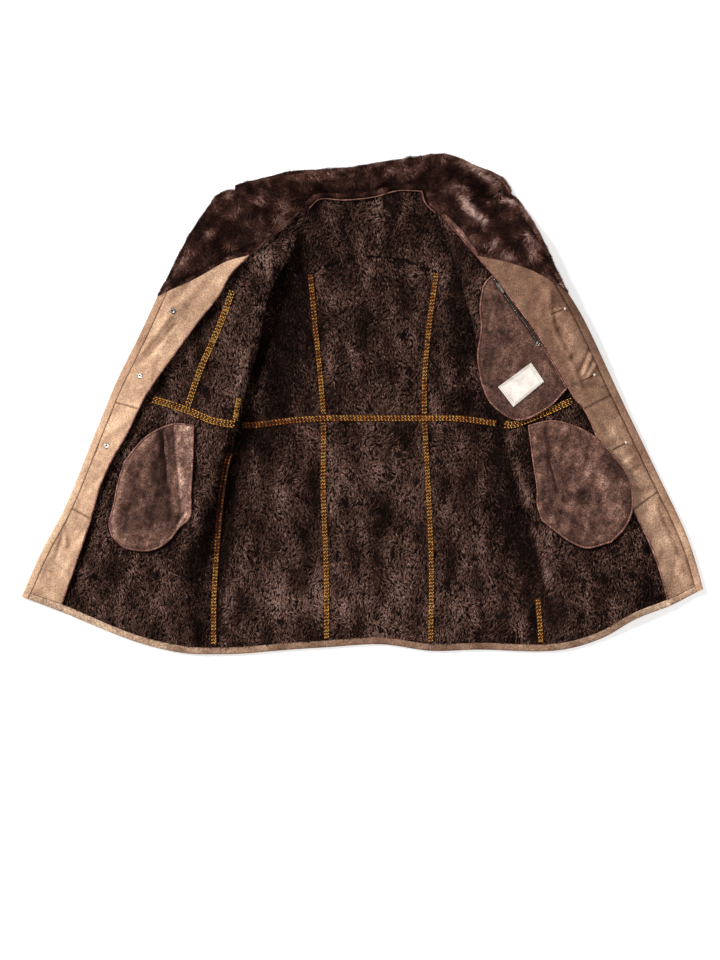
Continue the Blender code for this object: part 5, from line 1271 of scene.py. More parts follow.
def build_facings(side, strips):
    material, slot = SUEDES[side]
    crease_share, groove_shade = (1.15, 0.18) if side == "L" else (1.5, 0.4)
    groove = run(even(80), ("band_in_" + side, "band_hem_" + side, "band_top_" + side))
    seams = [edge_run(side, 20, line, start, line) for line, start, _ in (JOIN_EDGE, SKIRT_EDGE)]

    def relief(x, y):
        return crease_share * creased("facing_" + side, x, y) + 0.3 * waves(x, y, 16.0, 41)

    for part, grid in strips.items():
        name = f"facing_{part}_{side}"
        base = fine_inset(refined(flipped(side, grid)))
        x, y = base[..., 0], base[..., 1]
        flat_spots = np.ones_like(x)
        for bx, by in BUTTONS if side == "L" else ():
            flat_spots -= bell(np.hypot(x - bx, y - by), 8.0)
        from_groove = distance_to(groove, x, y)
        top = facing_height(x, y) + relief(x, y) * np.clip(flat_spots, 0, 1)
        top += 0.5 * bell(from_groove - 4.5, 2.5) - 1.2 * bell(from_groove, 2.0)
        wear = wear_of(name, x, y) * lit(relief, x, y) * (1 - groove_shade * bell(from_groove, 2.2))
        # painted shade along each join, and a painted highlight beside it
        for seam in seams:
            from_seam = distance_to(seam, x, y)
            wear = wear * (1 - 0.5 * bell(from_seam, 1.8) + 0.15 * bell(from_seam - 5, 2.5))
        body = shell(name + "_suede", base, top, top - SUEDE, material, [name], wear=wear)
        sheet(body, base)


# painted light and shade of the turned rims along their length: places in x for the hem and in y for the edges
RIM_LIGHT = {
    "hem": ((-440, -280, -60, 190, 305, 460, 530), (1.8, 1.36, 0.75, 0.76, 1.0, 1.27, 1.8)),
    "edge_band_L": ((-300, -180, -60, 40, 110), (1.3, 1.4, 1.24, 0.9, 0.76)),
    "edge_band_R": ((-300, -220, -170, 20, 85, 150), (2.0, 2.1, 1.4, 1.3, 0.98, 0.62)),
}
# rows across a rim, as shares of its width, and the shares over which its outer and inner sides round off
BAND_ROWS = (0.0, 0.06, 0.2, 0.45, 0.7, 0.82, 0.93, 1.0)
OUTER_ROUND = 0.3
INNER_ROUND = 0.22
# in metres, what a rim folds under along each side
RIM_FOLD = 0.006


def band(name, inside, outside, surface, material, height, drop):
    """The turned rim of an edge or hem: rounded at its outer side, with painted shade on its inner side and
    painted light and shade along it.
    """
    is_hem, end = name.startswith("hem"), name[-1]
    shares = np.array(BAND_ROWS)[:, None, None]
    grid = outside[None] * (1 - shares) + inside[None] * shares
    x, y = grid[..., 0], grid[..., 1]
    rise, inner_rise = (np.sqrt(1 - (1 - np.clip(share / rounded, 0, 1)) ** 2)
                        for share, rounded in ((shares[..., 0], OUTER_ROUND),
                                               (1 - shares[..., 0], INNER_ROUND)))
    top = surface(x, y) + height - drop * (1 - rise) - 1.8 * (1 - inner_rise) + 0.35 * waves(x, y, 9.0, 51)
    if name.startswith("hem_front"):
        reach = x - JUNCTIONS["facing_hem_" + end][0]
        top += (FACING_STAND + SUEDE + 1.0) * smooth((reach if end == "R" else -reach) / 10.0 + 0.5)
    under = np.maximum(surface(x, y) - SHEARLING, 0.0)
    top = np.maximum(top, under + 1.0)
    # painted shade where the rim rounds down at its inner side, times painted light and shade along the rim
    wear = (0.62 + 0.38 * inner_rise) * np.ones_like(top)
    wear = wear * np.interp(x if is_hem else y, *RIM_LIGHT["hem" if is_hem else name])
    body = shell(name + "_suede", fine_inset(grid, 0.15)[::-1], top[::-1], under[::-1], material, [name],
                 wear=wear[::-1])
    sheet(body, grid, extra=RIM_FOLD)


# parts of the hem: the ends of the inner line, then those of the outer one
HEM_PARTS = (
    ("hem_front_L", ("band_hem_L", "side_hem_L"), ("hem_in_L", "hem_side_L")),
    ("hem_side_L", ("side_hem_L", "panel_hem_L"), ("hem_side_L", "hem_panel_L")),
    ("hem_middle", ("panel_hem_L", "panel_hem_R"), ("hem_panel_L", "hem_panel_R")),
    ("hem_side_R", ("panel_hem_R", "side_hem_R"), ("hem_panel_R", "hem_side_R")),
    ("hem_front_R", ("side_hem_R", "band_hem_R"), ("hem_side_R", "hem_in_R")),
)


def build_bands():
    for side in "LR":
        material, slot = SUEDES[side]
        outside = run(even(110), ("edge_" + side, "corner_" + side, "lapel_tip_" + side))
        inside = run(even(110), ("hem_step_" + side, "hem_in_" + side, "band_hem_" + side),
                     ("band_in_" + side, "band_hem_" + side, "band_top_" + side))
        if side == "R":
            outside, inside = outside[::-1], inside[::-1]
        band("edge_band_" + side, inside, outside, front_height, material, FACING_STAND + SUEDE, 3.6)
    for name, inner, outer in HEM_PARTS:
        inside = run(shares_for([("hem_in", *inner)], 4.0), ("hem_in", *inner))
        outside = run(even(len(inside) - 1), ("hem_out", *outer))
        surface = front_height if "front" in name else back_height
        band(name, inside[::-1], outside[::-1], surface, HEM_HIDE, HEM_HEIGHT - SHEARLING, 3.2)


# ---- collar and lapels ---------------------------------------------------------------------------

def plushy(name, grid, surface, seed):
    """A part of the collar: a hide with dark underplush as painted shade, and the locks on it."""
    x, y = grid[..., 0], grid[..., 1]
    depth = smooth(distance_to(rim_of(grid)[::2], x, y) / 18.0)
    under = np.maximum(surface(x, y) - SHEARLING, 0.0)
    full = under + PLUSH * (0.6 + 0.4 * depth) + 0.9 * depth * waves(x, y, 16.0, 61)
    skin = np.maximum(full - 6.0, under + LEAST_SKIN)
    body = shell(name + "_leather", grid, skin, under, UNDERPLUSH_SHADE, [name], TAN)
    locks = pile(name + "_pile", grid, full, "plush", seed, (), plush_bias)
    sheet(body, grid)


# tips to each millimetre of a fringe, and how deep in the plush their roots stand
FRINGE_TIPS = 13
FRINGE_DEPTH = 9.0


def fringe(name, line, outward, surface, seed, lighter=1.3, raised=0.0):
    """Short tips that stand out past the edge of the plush, over the line of its hide, with painted highlights:
    lighter raises their tone.
    """
    rng = np.random.default_rng(seed)
    n = int(steps_along(line).sum() * FRINGE_TIPS)
    share = np.sort(rng.uniform(0, 1, n))
    spots, ahead = spaced(line, share), unit(spaced(np.gradient(line, axis=0), share))
    out = left_of(ahead) * outward
    sway = (0.35 * waves(spots[:, 0], spots[:, 1], 16.0, 5) + rng.normal(0, 0.25, n))[:, None]
    way = out + ahead * sway
    depth = rng.uniform(0, FRINGE_DEPTH, n)
    root = spots - out * depth[:, None]
    base = np.maximum(surface(root[:, 0], root[:, 1]) - SHEARLING, 0.0) + raised
    low = base + PLUSH * (0.22 + 0.42 * depth / FRINGE_DEPTH)
    ragged = 0.5 * waves(spots[:, 0], spots[:, 1], 14.0, 6)
    long = (rng.uniform(1.4, 3.4, n) + ragged + depth * 0.7)[:, None]
    tip = root + way * long
    across = ahead * rng.uniform(0.25, 0.45, n)[:, None]
    rise = 0.45 * depth + rng.uniform(-1.0, 2.2, n)
    heights_up = np.stack([low - 1.8, low - 1.8, low + rise], axis=1)
    flat = np.stack([root - across, root + across, tip], axis=1)
    points = place(flat[..., 0].ravel(), flat[..., 1].ravel(), np.maximum(heights_up, 0.4).ravel())
    faces = np.arange(n * 3).reshape(n, 3)
    patchy = 0.8 * waves(spots[:, 0], spots[:, 1], 13.0, 7)
    shade = PILES["plush"]["tone"] + lighter + patchy + plush_bias(*spots.T) * 0.7 + rng.normal(0, 0.9, n)
    indices = np.clip(np.round(shade), 0, len(PILE) - 1).astype(int)
    finished(mesh_from(name, points, faces, PILE, indices, False))


def build_fringes():
    collar = run(even(120), ("collar_left", "notch_L", "collar_end_L"),
                 ("collar_top", "collar_end_L", "collar_end_R"), ("collar_right", "collar_end_R", "notch_R"))
    fringe("collar_fringe", collar, 1, back_height, 81, 1.9)
    neck = run(even(60), ("neck", "neck_L", "neck_top_R"))
    fringe("neck_fringe", neck, -1, back_height, 84, 0.5, 3.0)
    left = run(even(60), ("gorge_L", "notch_L", "lapel_top_L"),
               ("lapel_out_L", "lapel_top_L", "lapel_tip_L"), ("lapel_low_L", "lapel_tip_L", "lapel_in_L"))
    fringe("lapel_L_fringe", left, -1, front_height, 82)
    right = run(even(60), ("lapel_out_R", "notch_R", "lapel_tip_R"),
                ("lapel_low_R", "lapel_tip_R", "lapel_in_R"))
    fringe("lapel_R_fringe", right, 1, front_height, 83)


def build_collar():
    grid = patch([("gorge_L", "notch_L", "neck_L"), ("neck", "neck_L", "neck_top_R"),
                  ("gorge_R", "neck_top_R", "notch_R")], [("collar_top", "collar_end_L", "collar_end_R")],
                 [("collar_left", "notch_L", "collar_end_L")], [("collar_right", "notch_R", "collar_end_R")],
                 6.0)
    plushy("collar", grid, back_height, 71)
    left = patch([("lapel_low_L", "lapel_tip_L", "lapel_in_L")], [("gorge_L", "lapel_top_L", "neck_L")],
                 [("lapel_out_L", "lapel_tip_L", "lapel_top_L")],
                 [("roll_L", "lapel_in_L", "roll_top_L"), ("neck_gap_L", "roll_top_L", "neck_L")], 6.0)
    plushy("lapel_L", left, front_height, 72)
    right = patch([("lapel_low_R", "lapel_in_R", "lapel_tip_R")], [("gorge_R", "neck_top_R", "notch_R")],
                  [("roll_R", "lapel_in_R", "roll_top_R"), ("neck_gap_R", "roll_top_R", "neck_R"),
                   ("neck_side", "neck_R", "neck_top_R")],
                  [("lapel_out_R", "lapel_tip_R", "notch_R")], 6.0)
    plushy("lapel_R", right, front_height, 73)


# ---- pockets, label, zip -------------------------------------------------------------------------

def tube(name, line, high, radius, material, is_loop=False, sides=6):
    """A thin rounded cord along a line of plan points."""
    points = place(line[:, 0], line[:, 1], high)
    ahead = headings(points)
    if is_loop:
        ahead = unit(np.roll(points, -1, axis=0) - np.roll(points, 1, axis=0))
    beside = unit(np.cross(ahead, (0, 0, 1)))
    upward = np.cross(beside, ahead)
    turn = np.arange(sides) * 2 * math.pi / sides
    ring = (beside[:, None] * np.cos(turn)[None, :, None] + upward[:, None] * np.sin(turn)[None, :, None])
    rings = points[:, None] + ring * radius * MM
    count = len(points)
    at = np.arange(count * sides).reshape(count, sides)
    if is_loop:
        at = closed(at)
    faces = np.stack([at[:-1], np.roll(at, -1, axis=1)[:-1], np.roll(at, -1, axis=1)[1:], at[1:]], axis=-1)
    made = mesh_from(name, rings.reshape(-1, 3), faces.reshape(-1, 4), [material])
    return finished(shaded_and_worn(made))


def bars(name, middle, way, length, radius, materials, shades=None):
    """Short stitches: middle points and directions in millimetres, as slim pointed bars."""
    n = len(middle)
    way = unit(way)
    beside = unit(np.cross(way, (0, 0, 1)))
    upward = np.cross(beside, way)
    half = np.broadcast_to(np.asarray(length, float) / 2, (n,))[:, None]
    corners = [middle - way * half, middle + beside * radius, middle + upward * radius,
               middle - beside * radius, middle - upward * radius, middle + way * half]
    points = np.stack(corners, axis=1).reshape(-1, 3)
    shape = np.array([[0, 2, 1], [0, 3, 2], [0, 4, 3], [0, 1, 4], [5, 1, 2], [5, 2, 3], [5, 3, 4], [5, 4, 1]])
    faces = (np.arange(n)[:, None, None] * 6 + shape[None]).reshape(-1, 3)
    made = mesh_from(name, place(points[:, 0], points[:, 1], points[:, 2]), faces, materials, shades, False)
    return finished(shaded_and_worn(made))


def along(line, pitch):
    """Points every pitch along a plan line, with the direction there."""
    count = max(2, int(steps_along(line).sum() / pitch))
    spots = spaced(line, (np.arange(count) + 0.5) / count)
    return spots, headings(spots)


# kinds of stitch: pitch, length, radius, and the turn from the line's direction
STITCHES = {
    "bag": (4.4, 3.4, 0.5, 1.2), "label": (2.6, 2.1, 0.42, 0.0), "tooth": (1.6, 2.6, 0.55, math.pi / 2),
    "roll": (4.2, 3.0, 0.45, 1.25), "facing": (4.6, 3.2, 0.5, 1.25), "topstitch": (3.2, 2.1, 0.28, 0.0),
    "buttonhole": (1.7, 2.0, 0.3, math.pi / 2),
}


def stitch_row(name, line, surface, kind, material, raise_by=0.3):
    """Stitches of a kind along a line, lying on a surface."""
    pitch, length, radius, slant = STITCHES[kind]
    spots, ahead = along(line, pitch)
    c, s = math.cos(slant), math.sin(slant)
    way = np.stack([ahead[:, 0] * c - ahead[:, 1] * s, ahead[:, 0] * s + ahead[:, 1] * c], axis=1)
    z, z2, z1 = (surface(*(spots + way * step).T) + raise_by for step in (0, SLOPE_STEP, -SLOPE_STEP))
    way3 = np.concatenate([way, ((z2 - z1) / (2 * SLOPE_STEP))[:, None]], axis=1)
    middle = np.concatenate([spots, z[:, None]], axis=1)
    return bars(name, middle, way3, length, radius, [material])


# the seam that parts a strip from each bag, from its top
BAG_STRIPS = {
    "pocket_bag_L": [(-321, -30), (-315, -100), (-310, -150), (-308, -188), (-320, -225)],
    "pocket_bag_R": [(310, -26), (314, -75), (316, -120), (322, -168), (350, -250)],
}


def bag_surface(name, x, y):
    """Underside of a bag: the right one climbs onto the facing."""
    if name == "inner_pocket":
        return inner_pocket_height(x, y) - BAG
    under = over(front_height, x, y, BAG_REACH) + LAYER_GAP
    if name == "pocket_bag_R":
        under = under + (FACING_STAND + SUEDE + FACING_RISE + 1.0) * facing_step(x, y)
    return under


# how much a pocket bag swells, and how high its piping lies
BAG_FULL = 1.8
PIPING_HEIGHT = BAG * 0.7


def build_bags():
    for name in ("pocket_bag_L", "pocket_bag_R", "inner_pocket"):
        grid, is_inner, left = bag_grid(name, 52, 68), name == "inner_pocket", name[-1] == "L"
        if is_inner:
            share = np.linspace(0, 1, grid.shape[1])[None, :, None] ** 3
            grid = grid + share * np.array([7.5, 2.0]) * np.linspace(0.9, 0.75, len(grid))[:, None, None]
        x, y = grid[..., 0], grid[..., 1]
        rim = rim_of(grid)
        edge = smooth(distance_to(closed(rim), x, y) / BAG_REACH)
        base = bag_surface(name, x, y)

        def relief(x, y):
            if is_inner:
                return -np.abs(creased(name, x, y))
            return 1.5 * creased(name, x, y) + 0.4 * waves(x, y, 12.0, 81)

        def rim_height(x, y):
            return bag_surface(name, x, y) + PIPING_HEIGHT + 1.2

        top = base + BAG * (0.5 + 0.5 * edge) + (0.0 if is_inner else BAG_FULL) * edge + edge * relief(x, y)
        wear = wear_of(name, x, y) * lit(relief, x, y, 1.08)
        if name in BAG_STRIPS:
            line = spline(BAG_STRIPS[name], 12)
            from_seam = distance_to(line, x, y)
            across = x - np.interp(-y, -line[:, 1], line[:, 0])
            inside = smooth((across if left else -across) / 3.0 + 0.5)
            top += edge * (1.2 * inside - 1.4 * bell(from_seam, 2.0))
            # the strip is lighter, and painted shade lies along its seam
            wear = wear * (0.9 + (2.5 if left else 0.25) * inside) * (1 - 0.45 * bell(from_seam, 1.8))
        body = shell(name + "_suede", grid, top, base, BAG_HIDE, [name], wear=wear)
        trim = tube(name + "_piping", rim, bag_surface(name, *rim.T) + PIPING_HEIGHT, 1.4, PIPING,
                    True)
        thread = stitch_row(name + "_overcast", closed(rim), rim_height, "bag", THREAD)
        sheet(body, grid)


def label_surface(x, y):
    return over(inner_pocket_height, x, y, 4.0) + LAYER_GAP


def build_label():
    grid = bag_grid("label", 24, 16)
    x, y = grid[..., 0], grid[..., 1]
    base = label_surface(x, y)
    body = shell("label_cloth", grid, base + LABEL + 0.25 * waves(x, y, 16.0, 91), base, LABEL_CLOTH,
                 ["label"])
    bottom, top = (np.array(BAGS["label"][edge], float) for edge in ("bottom", "top"))
    loop = np.array([bottom[0], bottom[1], top[1], top[0]])
    middle = loop.mean(axis=0)
    for i, share in enumerate((0.94, 0.84)):
        ring = closed(middle + (loop - middle) * share)
        line = np.concatenate([np.linspace(a, b, 20)[:-1] for a, b in zip(ring[:-1], ring[1:])])
        stitch_row(f"label_stitch_{i}", line, lambda x, y: label_surface(x, y) + LABEL,
                                  "label", LIGHT_THREAD, 0.4)
    sheet(body, grid)


def on_zip_tape(x, y):
    return over(inner_pocket_height, x, y, 3.0) + LAYER_GAP + ZIP_TAPE


def build_zip():
    line = spaced(spline(ZIP_LINE), even(40))
    beside = left_of(headings(line)) * ZIP_TAPE_WIDTH / 2
    shares = np.linspace(0, 1, 5)[:, None, None]
    grid = (line - beside)[None] * (1 - shares) + (line + beside)[None] * shares
    base = over(inner_pocket_height, grid[..., 0], grid[..., 1], 3.0) + LAYER_GAP
    body = shell("zip_tape_cloth", grid, base + ZIP_TAPE * 0.8, base, ZIP_CLOTH, ["zip_tape"])
    teeth = stitch_row("zip_teeth", line, on_zip_tape, "tooth", NICKEL, 0.1)
    sheet(body, grid, extra=0.0022)
    oval_ring("zip_stop", (298.5, 101.0), 0.9, on_zip_tape, 3.2, 2.4, 0.6, NICKEL, 0.5)


def oval_ring(name, spot, turn, surface, long, wide, radius, material, lift):
    """An oval ring of wire lying on a surface, turned about the vertical."""
    around, sides = 10, 4
    a = np.arange(around) * 2 * math.pi / around
    b = np.arange(sides) * 2 * math.pi / sides + math.pi / 4
    outward = np.stack([np.cos(a), np.sin(a), np.zeros(around)], axis=1)
    wire = (outward * (long, wide, 0))[:, None] + radius * (outward[:, None] * np.cos(b)[None, :, None]
                                                            + np.array([0, 0, 1.0]) * np.sin(b)[None, :, None])
    c, s = math.cos(turn), math.sin(turn)
    x = wire[..., 0] * c - wire[..., 1] * s + spot[0]
    y = wire[..., 0] * s + wire[..., 1] * c + spot[1]
    z = wire[..., 2] + (surface(*np.array([spot], float).T)[0] + lift)
    at = np.arange(around * sides).reshape(around, sides)
    right, down = np.roll(at, -1, axis=0), np.roll(at, -1, axis=1)
    faces = np.stack([at, right, np.roll(right, -1, axis=1), down], axis=-1).reshape(-1, 4)
    finished(shaded_and_worn(mesh_from(name, place(x.ravel(), y.ravel(), z.ravel()), faces, [material])))


# ---- braid ---------------------------------------------------------------------------------------

# rows of the braid: share of the tape's width, slant, bar length, radius, usual tone
BRAID_ROWS = ((-0.42, 0.5, 3.2, 0.95, 2.7), (-0.15, -0.8, 3.4, 0.85, 1.7), (0.13, 0.8, 3.4, 0.85, 1.9),
              (0.42, -0.5, 3.2, 0.95, 2.9))
BRAID_PITCH = 2.9


def braid(name, line, surface, width, seed, bias):
    """Herringbone rows of bright metallic yarn over the tape's dark ground, with painted glints and painted
    shade.
    """
    length, ahead = steps_along(line).sum(), headings(line)
    rng = np.random.default_rng(seed)
    made = []
    for i, (share, slant, long, radius, tone) in enumerate(BRAID_ROWS):
        at = np.arange(1.2 + (i % 2) * BRAID_PITCH / 2, length - 1, BRAID_PITCH)
        at = at + rng.normal(0, 0.25, len(at))
        spots, way = spaced(line, at / length), unit(spaced(ahead, at / length))
        across = left_of(way)
        spots = spots + across * share * (width - 0.8) + rng.normal(0, 0.15, spots.shape)
        slants = slant + rng.normal(0, 0.28, len(at))
        turned_way = way * np.cos(slants)[:, None] + across * np.sin(slants)[:, None]
        z = surface(spots[:, 0], spots[:, 1]) + 2.0 + rng.uniform(0, 0.5, len(at))
        middle = np.concatenate([spots, z[:, None]], axis=1)
        long_here = np.minimum(long, width * 0.36) * rng.uniform(0.8, 1.15, len(at))
        way3 = np.concatenate([turned_way, rng.normal(0, 0.15, (len(way), 1))], axis=1)
        # every other bar is painted bright as a glint and the rest darker as shade
        repeat = np.where((np.arange(len(at)) + i) % 2 == 0, 1.4, -1.7)
        shade = tone + repeat + rng.normal(0, 0.6, len(at)) + 0.6 * bias(spots[:, 0], spots[:, 1])
        shades = np.repeat(np.clip(np.round(shade), 0, len(GOLD) - 1).astype(int), 8)
        made.append(bars(f"{name}_yarn_{i}", middle, way3, long_here, radius, GOLD, shades))
    return made


def build_tapes():
    for i, (name, (surface, line, width)) in enumerate(TAPES.items()):
        fine = spaced(line, even(max(8, int(steps_along(line).sum() / 6))))
        on_back, on_side = "back" in name, "side" in name
        reach = 2.25 if on_side else 4.0

        def under(x, y):
            return over(surface, x, y, reach) - 2.0

        shares = np.linspace(-0.5, 0.5, 5)[:, None, None]
        grid = fine[None] + left_of(headings(fine))[None] * shares * (width - 1.0)
        base = under(grid[..., 0], grid[..., 1])
        rounded = 1 - (2 * np.abs(shares[..., 0])) ** 3
        body = shell(name + "_web", grid, base + 0.5 + 0.6 * rounded, base - 0.6, TAPE_BASE,
                     [name])
        # painted light and shade on the braid: darker on the back, lighter on the fronts, and painted shade
        # where the side tapes and the back's waist tape run into the valleys
        dim = -0.3 if on_side else -0.9 if on_back else 0.9

        def bias(x, y):
            rows = BACK_SHADES if surface is back_height else FRONT_SHADES
            dimmer = -3.6 * smooth((y + 300) / 90) if on_side else 0
            fading = -1.6 * smooth((-150 - x) / 40) if name == "tape_waist_back" else 0
            return blots(rows, x, y) + dim + dimmer + fading + 0.8 * waves(x, y, 9.0, 48)

        yarns = braid(name, line, under, shown_width(name), 100 + i, bias)
        sheet(body, grid,
              extra=max(0.5 * MM, (TAPE_WIDTH - width + 1.0) / 2 * MM))


# ---- small pieces --------------------------------------------------------------------------------

def build_binding():
    seam = run(even(60), ("neck", "neck_L", "neck_top_R"), ("neck_side", "neck_top_R", "neck_R"))
    line = offset(seam, -BINDING_RADIUS - 1.0)
    high = over(back_height, line[:, 0], line[:, 1], 6.0) + BINDING_RADIUS + LAYER_GAP
    high = high - 0.6 + 0.5 * waves(line[:, 0], line[:, 1], 12.0, 45)
    made = tube("neck_binding_leather", line, high, BINDING_RADIUS * 0.5, PIPING, sides=8)
    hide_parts("neck_binding")


def build_roll_edges():
    """The strip of hide that shows along each roll line, between the lapel and the fur, with a painted
    highlight along it and painted shade at its edge on the roll line.
    """
    for side, width in (("L", 2.6), ("R", 9.0)):
        line = run(even(60), ("roll_" + side, "lapel_in_" + side, "roll_top_" + side))
        taper = np.sin(np.linspace(0.25, math.pi - 0.35, len(line)))[:, None] ** 0.5
        outward = 1 if side == "L" else -1
        shares = np.linspace(0, 1, 8)
        grid = np.stack([line + (offset(line, outward * width) - line) * share * taper for share in shares])
        x, y = grid[..., 0], grid[..., 1]
        hump = np.sin(shares * math.pi)[:, None] * 1.8
        base = over(front_height, x, y, 5.0) + 1.0 + 5.0 * shares[:, None] * taper[None, :, 0]
        # a painted highlight a third of the way across, and painted shade at the edge on the roll line
        tone = 0.34 + 0.22 * bell(shares - 0.3, 0.15) - 0.25 * bell(shares - 0.05, 0.1)
        wear = np.broadcast_to(tone[:, None], x.shape) * (1 + 0.25 * waves(x, y, 12.0, 44))
        if side == "L":
            grid, hump, base, wear = grid[::-1], hump[::-1], base[::-1], wear[::-1]
        strip = shell("roll_stand_" + side, grid, base + hump + 0.6, base - 1.0, PIPING, wear=wear)
        sheet(strip, grid, extra=0.0045 if side == "L" else 0.0)
        tube("roll_edge_" + side, line, over(front_height, line[:, 0], line[:, 1], 4.0) + 0.6, 0.9,
             PIPING)
        if side == "R":
            stitch_row("roll_overcast_R", offset(line, 0.4), lambda x, y: over(front_height, x, y, 4.0) + 1.4,
                       "roll", THREAD)


def lip(x, y):
    return facing_height(x, y) - 0.1


def build_stitches():
    """The piping and overcast of each facing's inner edge, and the stitches beside its band."""
    for side, inward, thread in (("L", 1, STITCH_TAN), ("R", -1, STITCH_TAN_IN_SHADE)):
        edge = offset(edge_run(side, 160, "facing_in_", "facing_hem_", "lapel_in_"), 0.1 * inward)
        tube("facing_edge_" + side, edge, lip(*edge.T) - 0.4, 1.5, PIPING, sides=6)
        stitch_row("facing_overcast_" + side, edge, lip, "facing", THREAD, 0.7)
        topstitch = offset(edge_run(side, 160, "band_in_", "band_hem_", "band_top_"), -6.0 * inward)
        stitch_row("facing_topstitch_" + side, topstitch, facing_height, "topstitch", thread,
                   0.35)


def build_studs():
    """The ring of each press stud with its eye, a dark ring painted as the shade in its hollow, and a pale bar
    painted as the glint at the end of each buttonhole.
    """
    for i, spot in enumerate(BUTTONS, start=1):
        oval_ring(f"rivet_ring_{i}", spot, 0.0, facing_height, 4.4, 4.4, 0.8, NICKEL, 1.9)
        # the dark eye is painted shade in the stud's hollow
        oval_ring(f"rivet_eye_{i}", spot, 0.0, facing_height, 1.0, 1.0, 1.1, HOLLOW_SHADE, 2.1)
    for i, (start, end) in enumerate(np.array(BUTTONHOLES, float), start=1):
        way = unit(end - start)
        spot = end - way * 1.5
        middle = np.array([[*spot, facing_height(*spot[:, None])[0] + 0.9]])
        # a pale bar painted as the glint at the buttonhole's end
        bars(f"buttonhole_tack_{i}", middle, np.array([[-way[1], way[0], 0.0]]), 5.6, 2.1, [GLINT_WHITE])


def build_sleeves():
    for side in "LR":
        material, slot = SUEDES[side]
        start, end = (np.array(SLEEVES[side][part], float) for part in ("shoulder", "cuff"))
        ahead = unit(start - end)
        share = np.linspace(1, 0, 50)[:, None]
        columns = np.sin(np.linspace(-math.pi / 2, math.pi / 2, 21))
        middle = start + (end - start) * share
        grid = middle[:, None, :] + (sleeve_half_width(share) * columns)[..., None] * (ahead[1], -ahead[0])
        top = sleeve_height(side, share) * (0.35 + 0.65 * (1 - np.abs(columns) ** 3) ** 0.6)
        split = top / 2
        lower = shell("sleeve_under_hide_" + side, grid, split - LAYER_GAP / 2, np.zeros_like(top), material,
                      ["sleeve_under_" + side])
        sheet(lower, grid)
        upper = shell("sleeve_top_hide_" + side, grid, top, split + LAYER_GAP / 2, material,
                      ["sleeve_top_" + side])
        sheet(upper, grid)


# in metres, through the whole coat
SLIT_DEPTH = 0.2


def cut_buttonholes():
    """Slits through the facings, with a stitched edge round each."""
    for i, (start, end) in enumerate(np.array(BUTTONHOLES, float), start=1):
        middle, way = (start + end) / 2, end - start
        length = np.linalg.norm(way)
        bm = bmesh.new()
        bmesh.ops.create_cube(bm, size=1.0)
        bmesh.ops.scale(bm, verts=bm.verts, vec=(length * MM, BUTTONHOLE_WIDTH * 0.6 * MM, SLIT_DEPTH))
        mesh = bpy.data.meshes.new(f"slit_{i}")
        bm.to_mesh(mesh)
        bm.free()
        cutter = bpy.data.objects.new(f"slit_{i}", mesh)
        cutter.location = ((middle[0] - ORIGIN_X) * MM, (middle[1] - ORIGIN_Y) * MM, 0)
        cutter.rotation_euler = (0, 0, math.atan2(way[1], way[0]))
        cutter.hide_render = True
        bpy.context.scene.collection.objects.link(cutter)
        piece = bpy.data.objects["facing_middle_R_suede" if i == 3 else "facing_upper_R_suede"]
        cut = piece.modifiers.new(f"slit_{i}", "BOOLEAN")
        cut.object = cutter
        cut.solver = "EXACT"
        ahead = unit(way)
        side = np.array([-ahead[1], ahead[0]])
        loop = [middle + ahead * length / 2 * math.cos(a) * 1.06 + side * 2.3 * math.sin(a)
                for a in np.linspace(0, 2 * math.pi, 25)]
        stitch_row(f"buttonhole_stitch_{i}", np.array(loop), facing_height, "buttonhole",
                   STITCH_TAN_IN_SHADE, 0.15)


# ---- floor, light and camera ---------------------------------------------------------------------

# the camera looks straight down: the middle and height of what it sees, and its own height, in metres
FRAME_CENTRE = (-0.0039, -0.1282)
FRAME_HEIGHT = 1.632
CAMERA_HEIGHT = 12.0
# the coat's upper layers lie this much nearer to the camera than the floor
SUBJECT_HEIGHT = 0.02
SENSOR = 36.0
FLOOR_REACH = 60.0
FLOOR_DROP = 0.0005
FLOOR_GREY = 0.8
FLOOR_GLOW = 0.55
SKY_LIGHT = 0.32
KEY_WAY = (0.62, -0.45, -0.64)
KEY_POWER = 3.9
KEY_ANGLE = math.radians(14)
FILL = {"where": (1.8, -0.6, 2.6), "size": 2.4, "power": 12}


def linked(name, data, way=None):
    """An object of these data in the scene, turned so that it looks along a way."""
    made = bpy.data.objects.new(name, data)
    if way is not None:
        made.rotation_mode = "QUATERNION"
        made.rotation_quaternion = Vector(way).to_track_quat("-Z", "Y")
    bpy.context.scene.collection.objects.link(made)
    return made


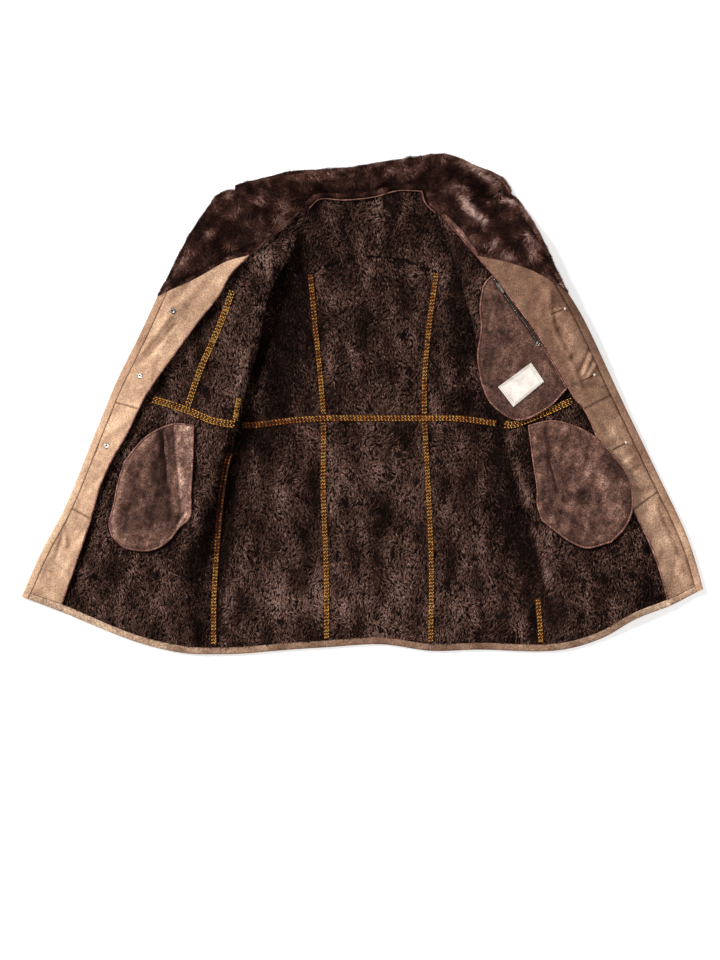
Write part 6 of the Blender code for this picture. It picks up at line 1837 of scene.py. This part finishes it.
def build_stage():
    scene = bpy.context.scene
    mesh = bpy.data.meshes.new("floor")
    corners = [(-1, -1), (1, -1), (1, 1), (-1, 1)]
    mesh.from_pydata([(x * FLOOR_REACH, y * FLOOR_REACH, 0) for x, y in corners], [], [(0, 1, 2, 3)])
    paper = plain("floor_paper", (FLOOR_GREY,) * 3, 0.9, shine=0.0)
    fill_in(paper.node_tree.nodes["Principled BSDF"], Emission_Color=(1, 1, 1, 1),
            Emission_Strength=FLOOR_GLOW)
    mesh.materials.append(paper)
    floor = linked("floor", mesh)
    floor.location.z = -FLOOR_DROP
    scene.world = bpy.data.worlds.new("studio")
    scene.world.use_nodes = True
    fill_in(scene.world.node_tree.nodes["Background"], Color=(1, 1, 1, 1), Strength=SKY_LIGHT)
    key = bpy.data.lights.new("key", "SUN")
    key.energy = KEY_POWER
    key.angle = KEY_ANGLE
    linked("key", key, KEY_WAY)
    fill = bpy.data.lights.new("fill", "AREA")
    fill.shape = "SQUARE"
    fill.size = FILL["size"]
    fill.energy = FILL["power"]
    linked("fill", fill, -Vector(FILL["where"])).location = FILL["where"]
    camera = bpy.data.cameras.new("camera")
    camera.sensor_fit = "VERTICAL"
    camera.sensor_height = SENSOR
    camera.sensor_width = SENSOR
    camera.lens = SENSOR * (CAMERA_HEIGHT - SUBJECT_HEIGHT) / FRAME_HEIGHT
    scene.camera = linked("camera", camera)
    scene.camera.location = (*FRAME_CENTRE, CAMERA_HEIGHT)
    scene.view_settings.view_transform = "Standard"
    scene.view_settings.look = "None"


# ---- the whole -----------------------------------------------------------------------------------

for name in ("button_1", "button_2", "button_3", "rivet_1", "rivet_2", "rivet_3", "zip_slider", "zip_pull"):
    node = frame["nodes"][name]
    node.data.materials.clear()
    node.data.materials.append(ZIP_METAL if name.startswith("zip") else NICKEL_PLAIN)
build_back()
build_front("L", 20)
build_front("R", 40)
build_bands()
build_collar()
build_fringes()
build_bags()
build_label()
build_zip()
build_tapes()
build_binding()
build_roll_edges()
build_stitches()
build_studs()
build_sleeves()
cut_buttonholes()
build_stage()
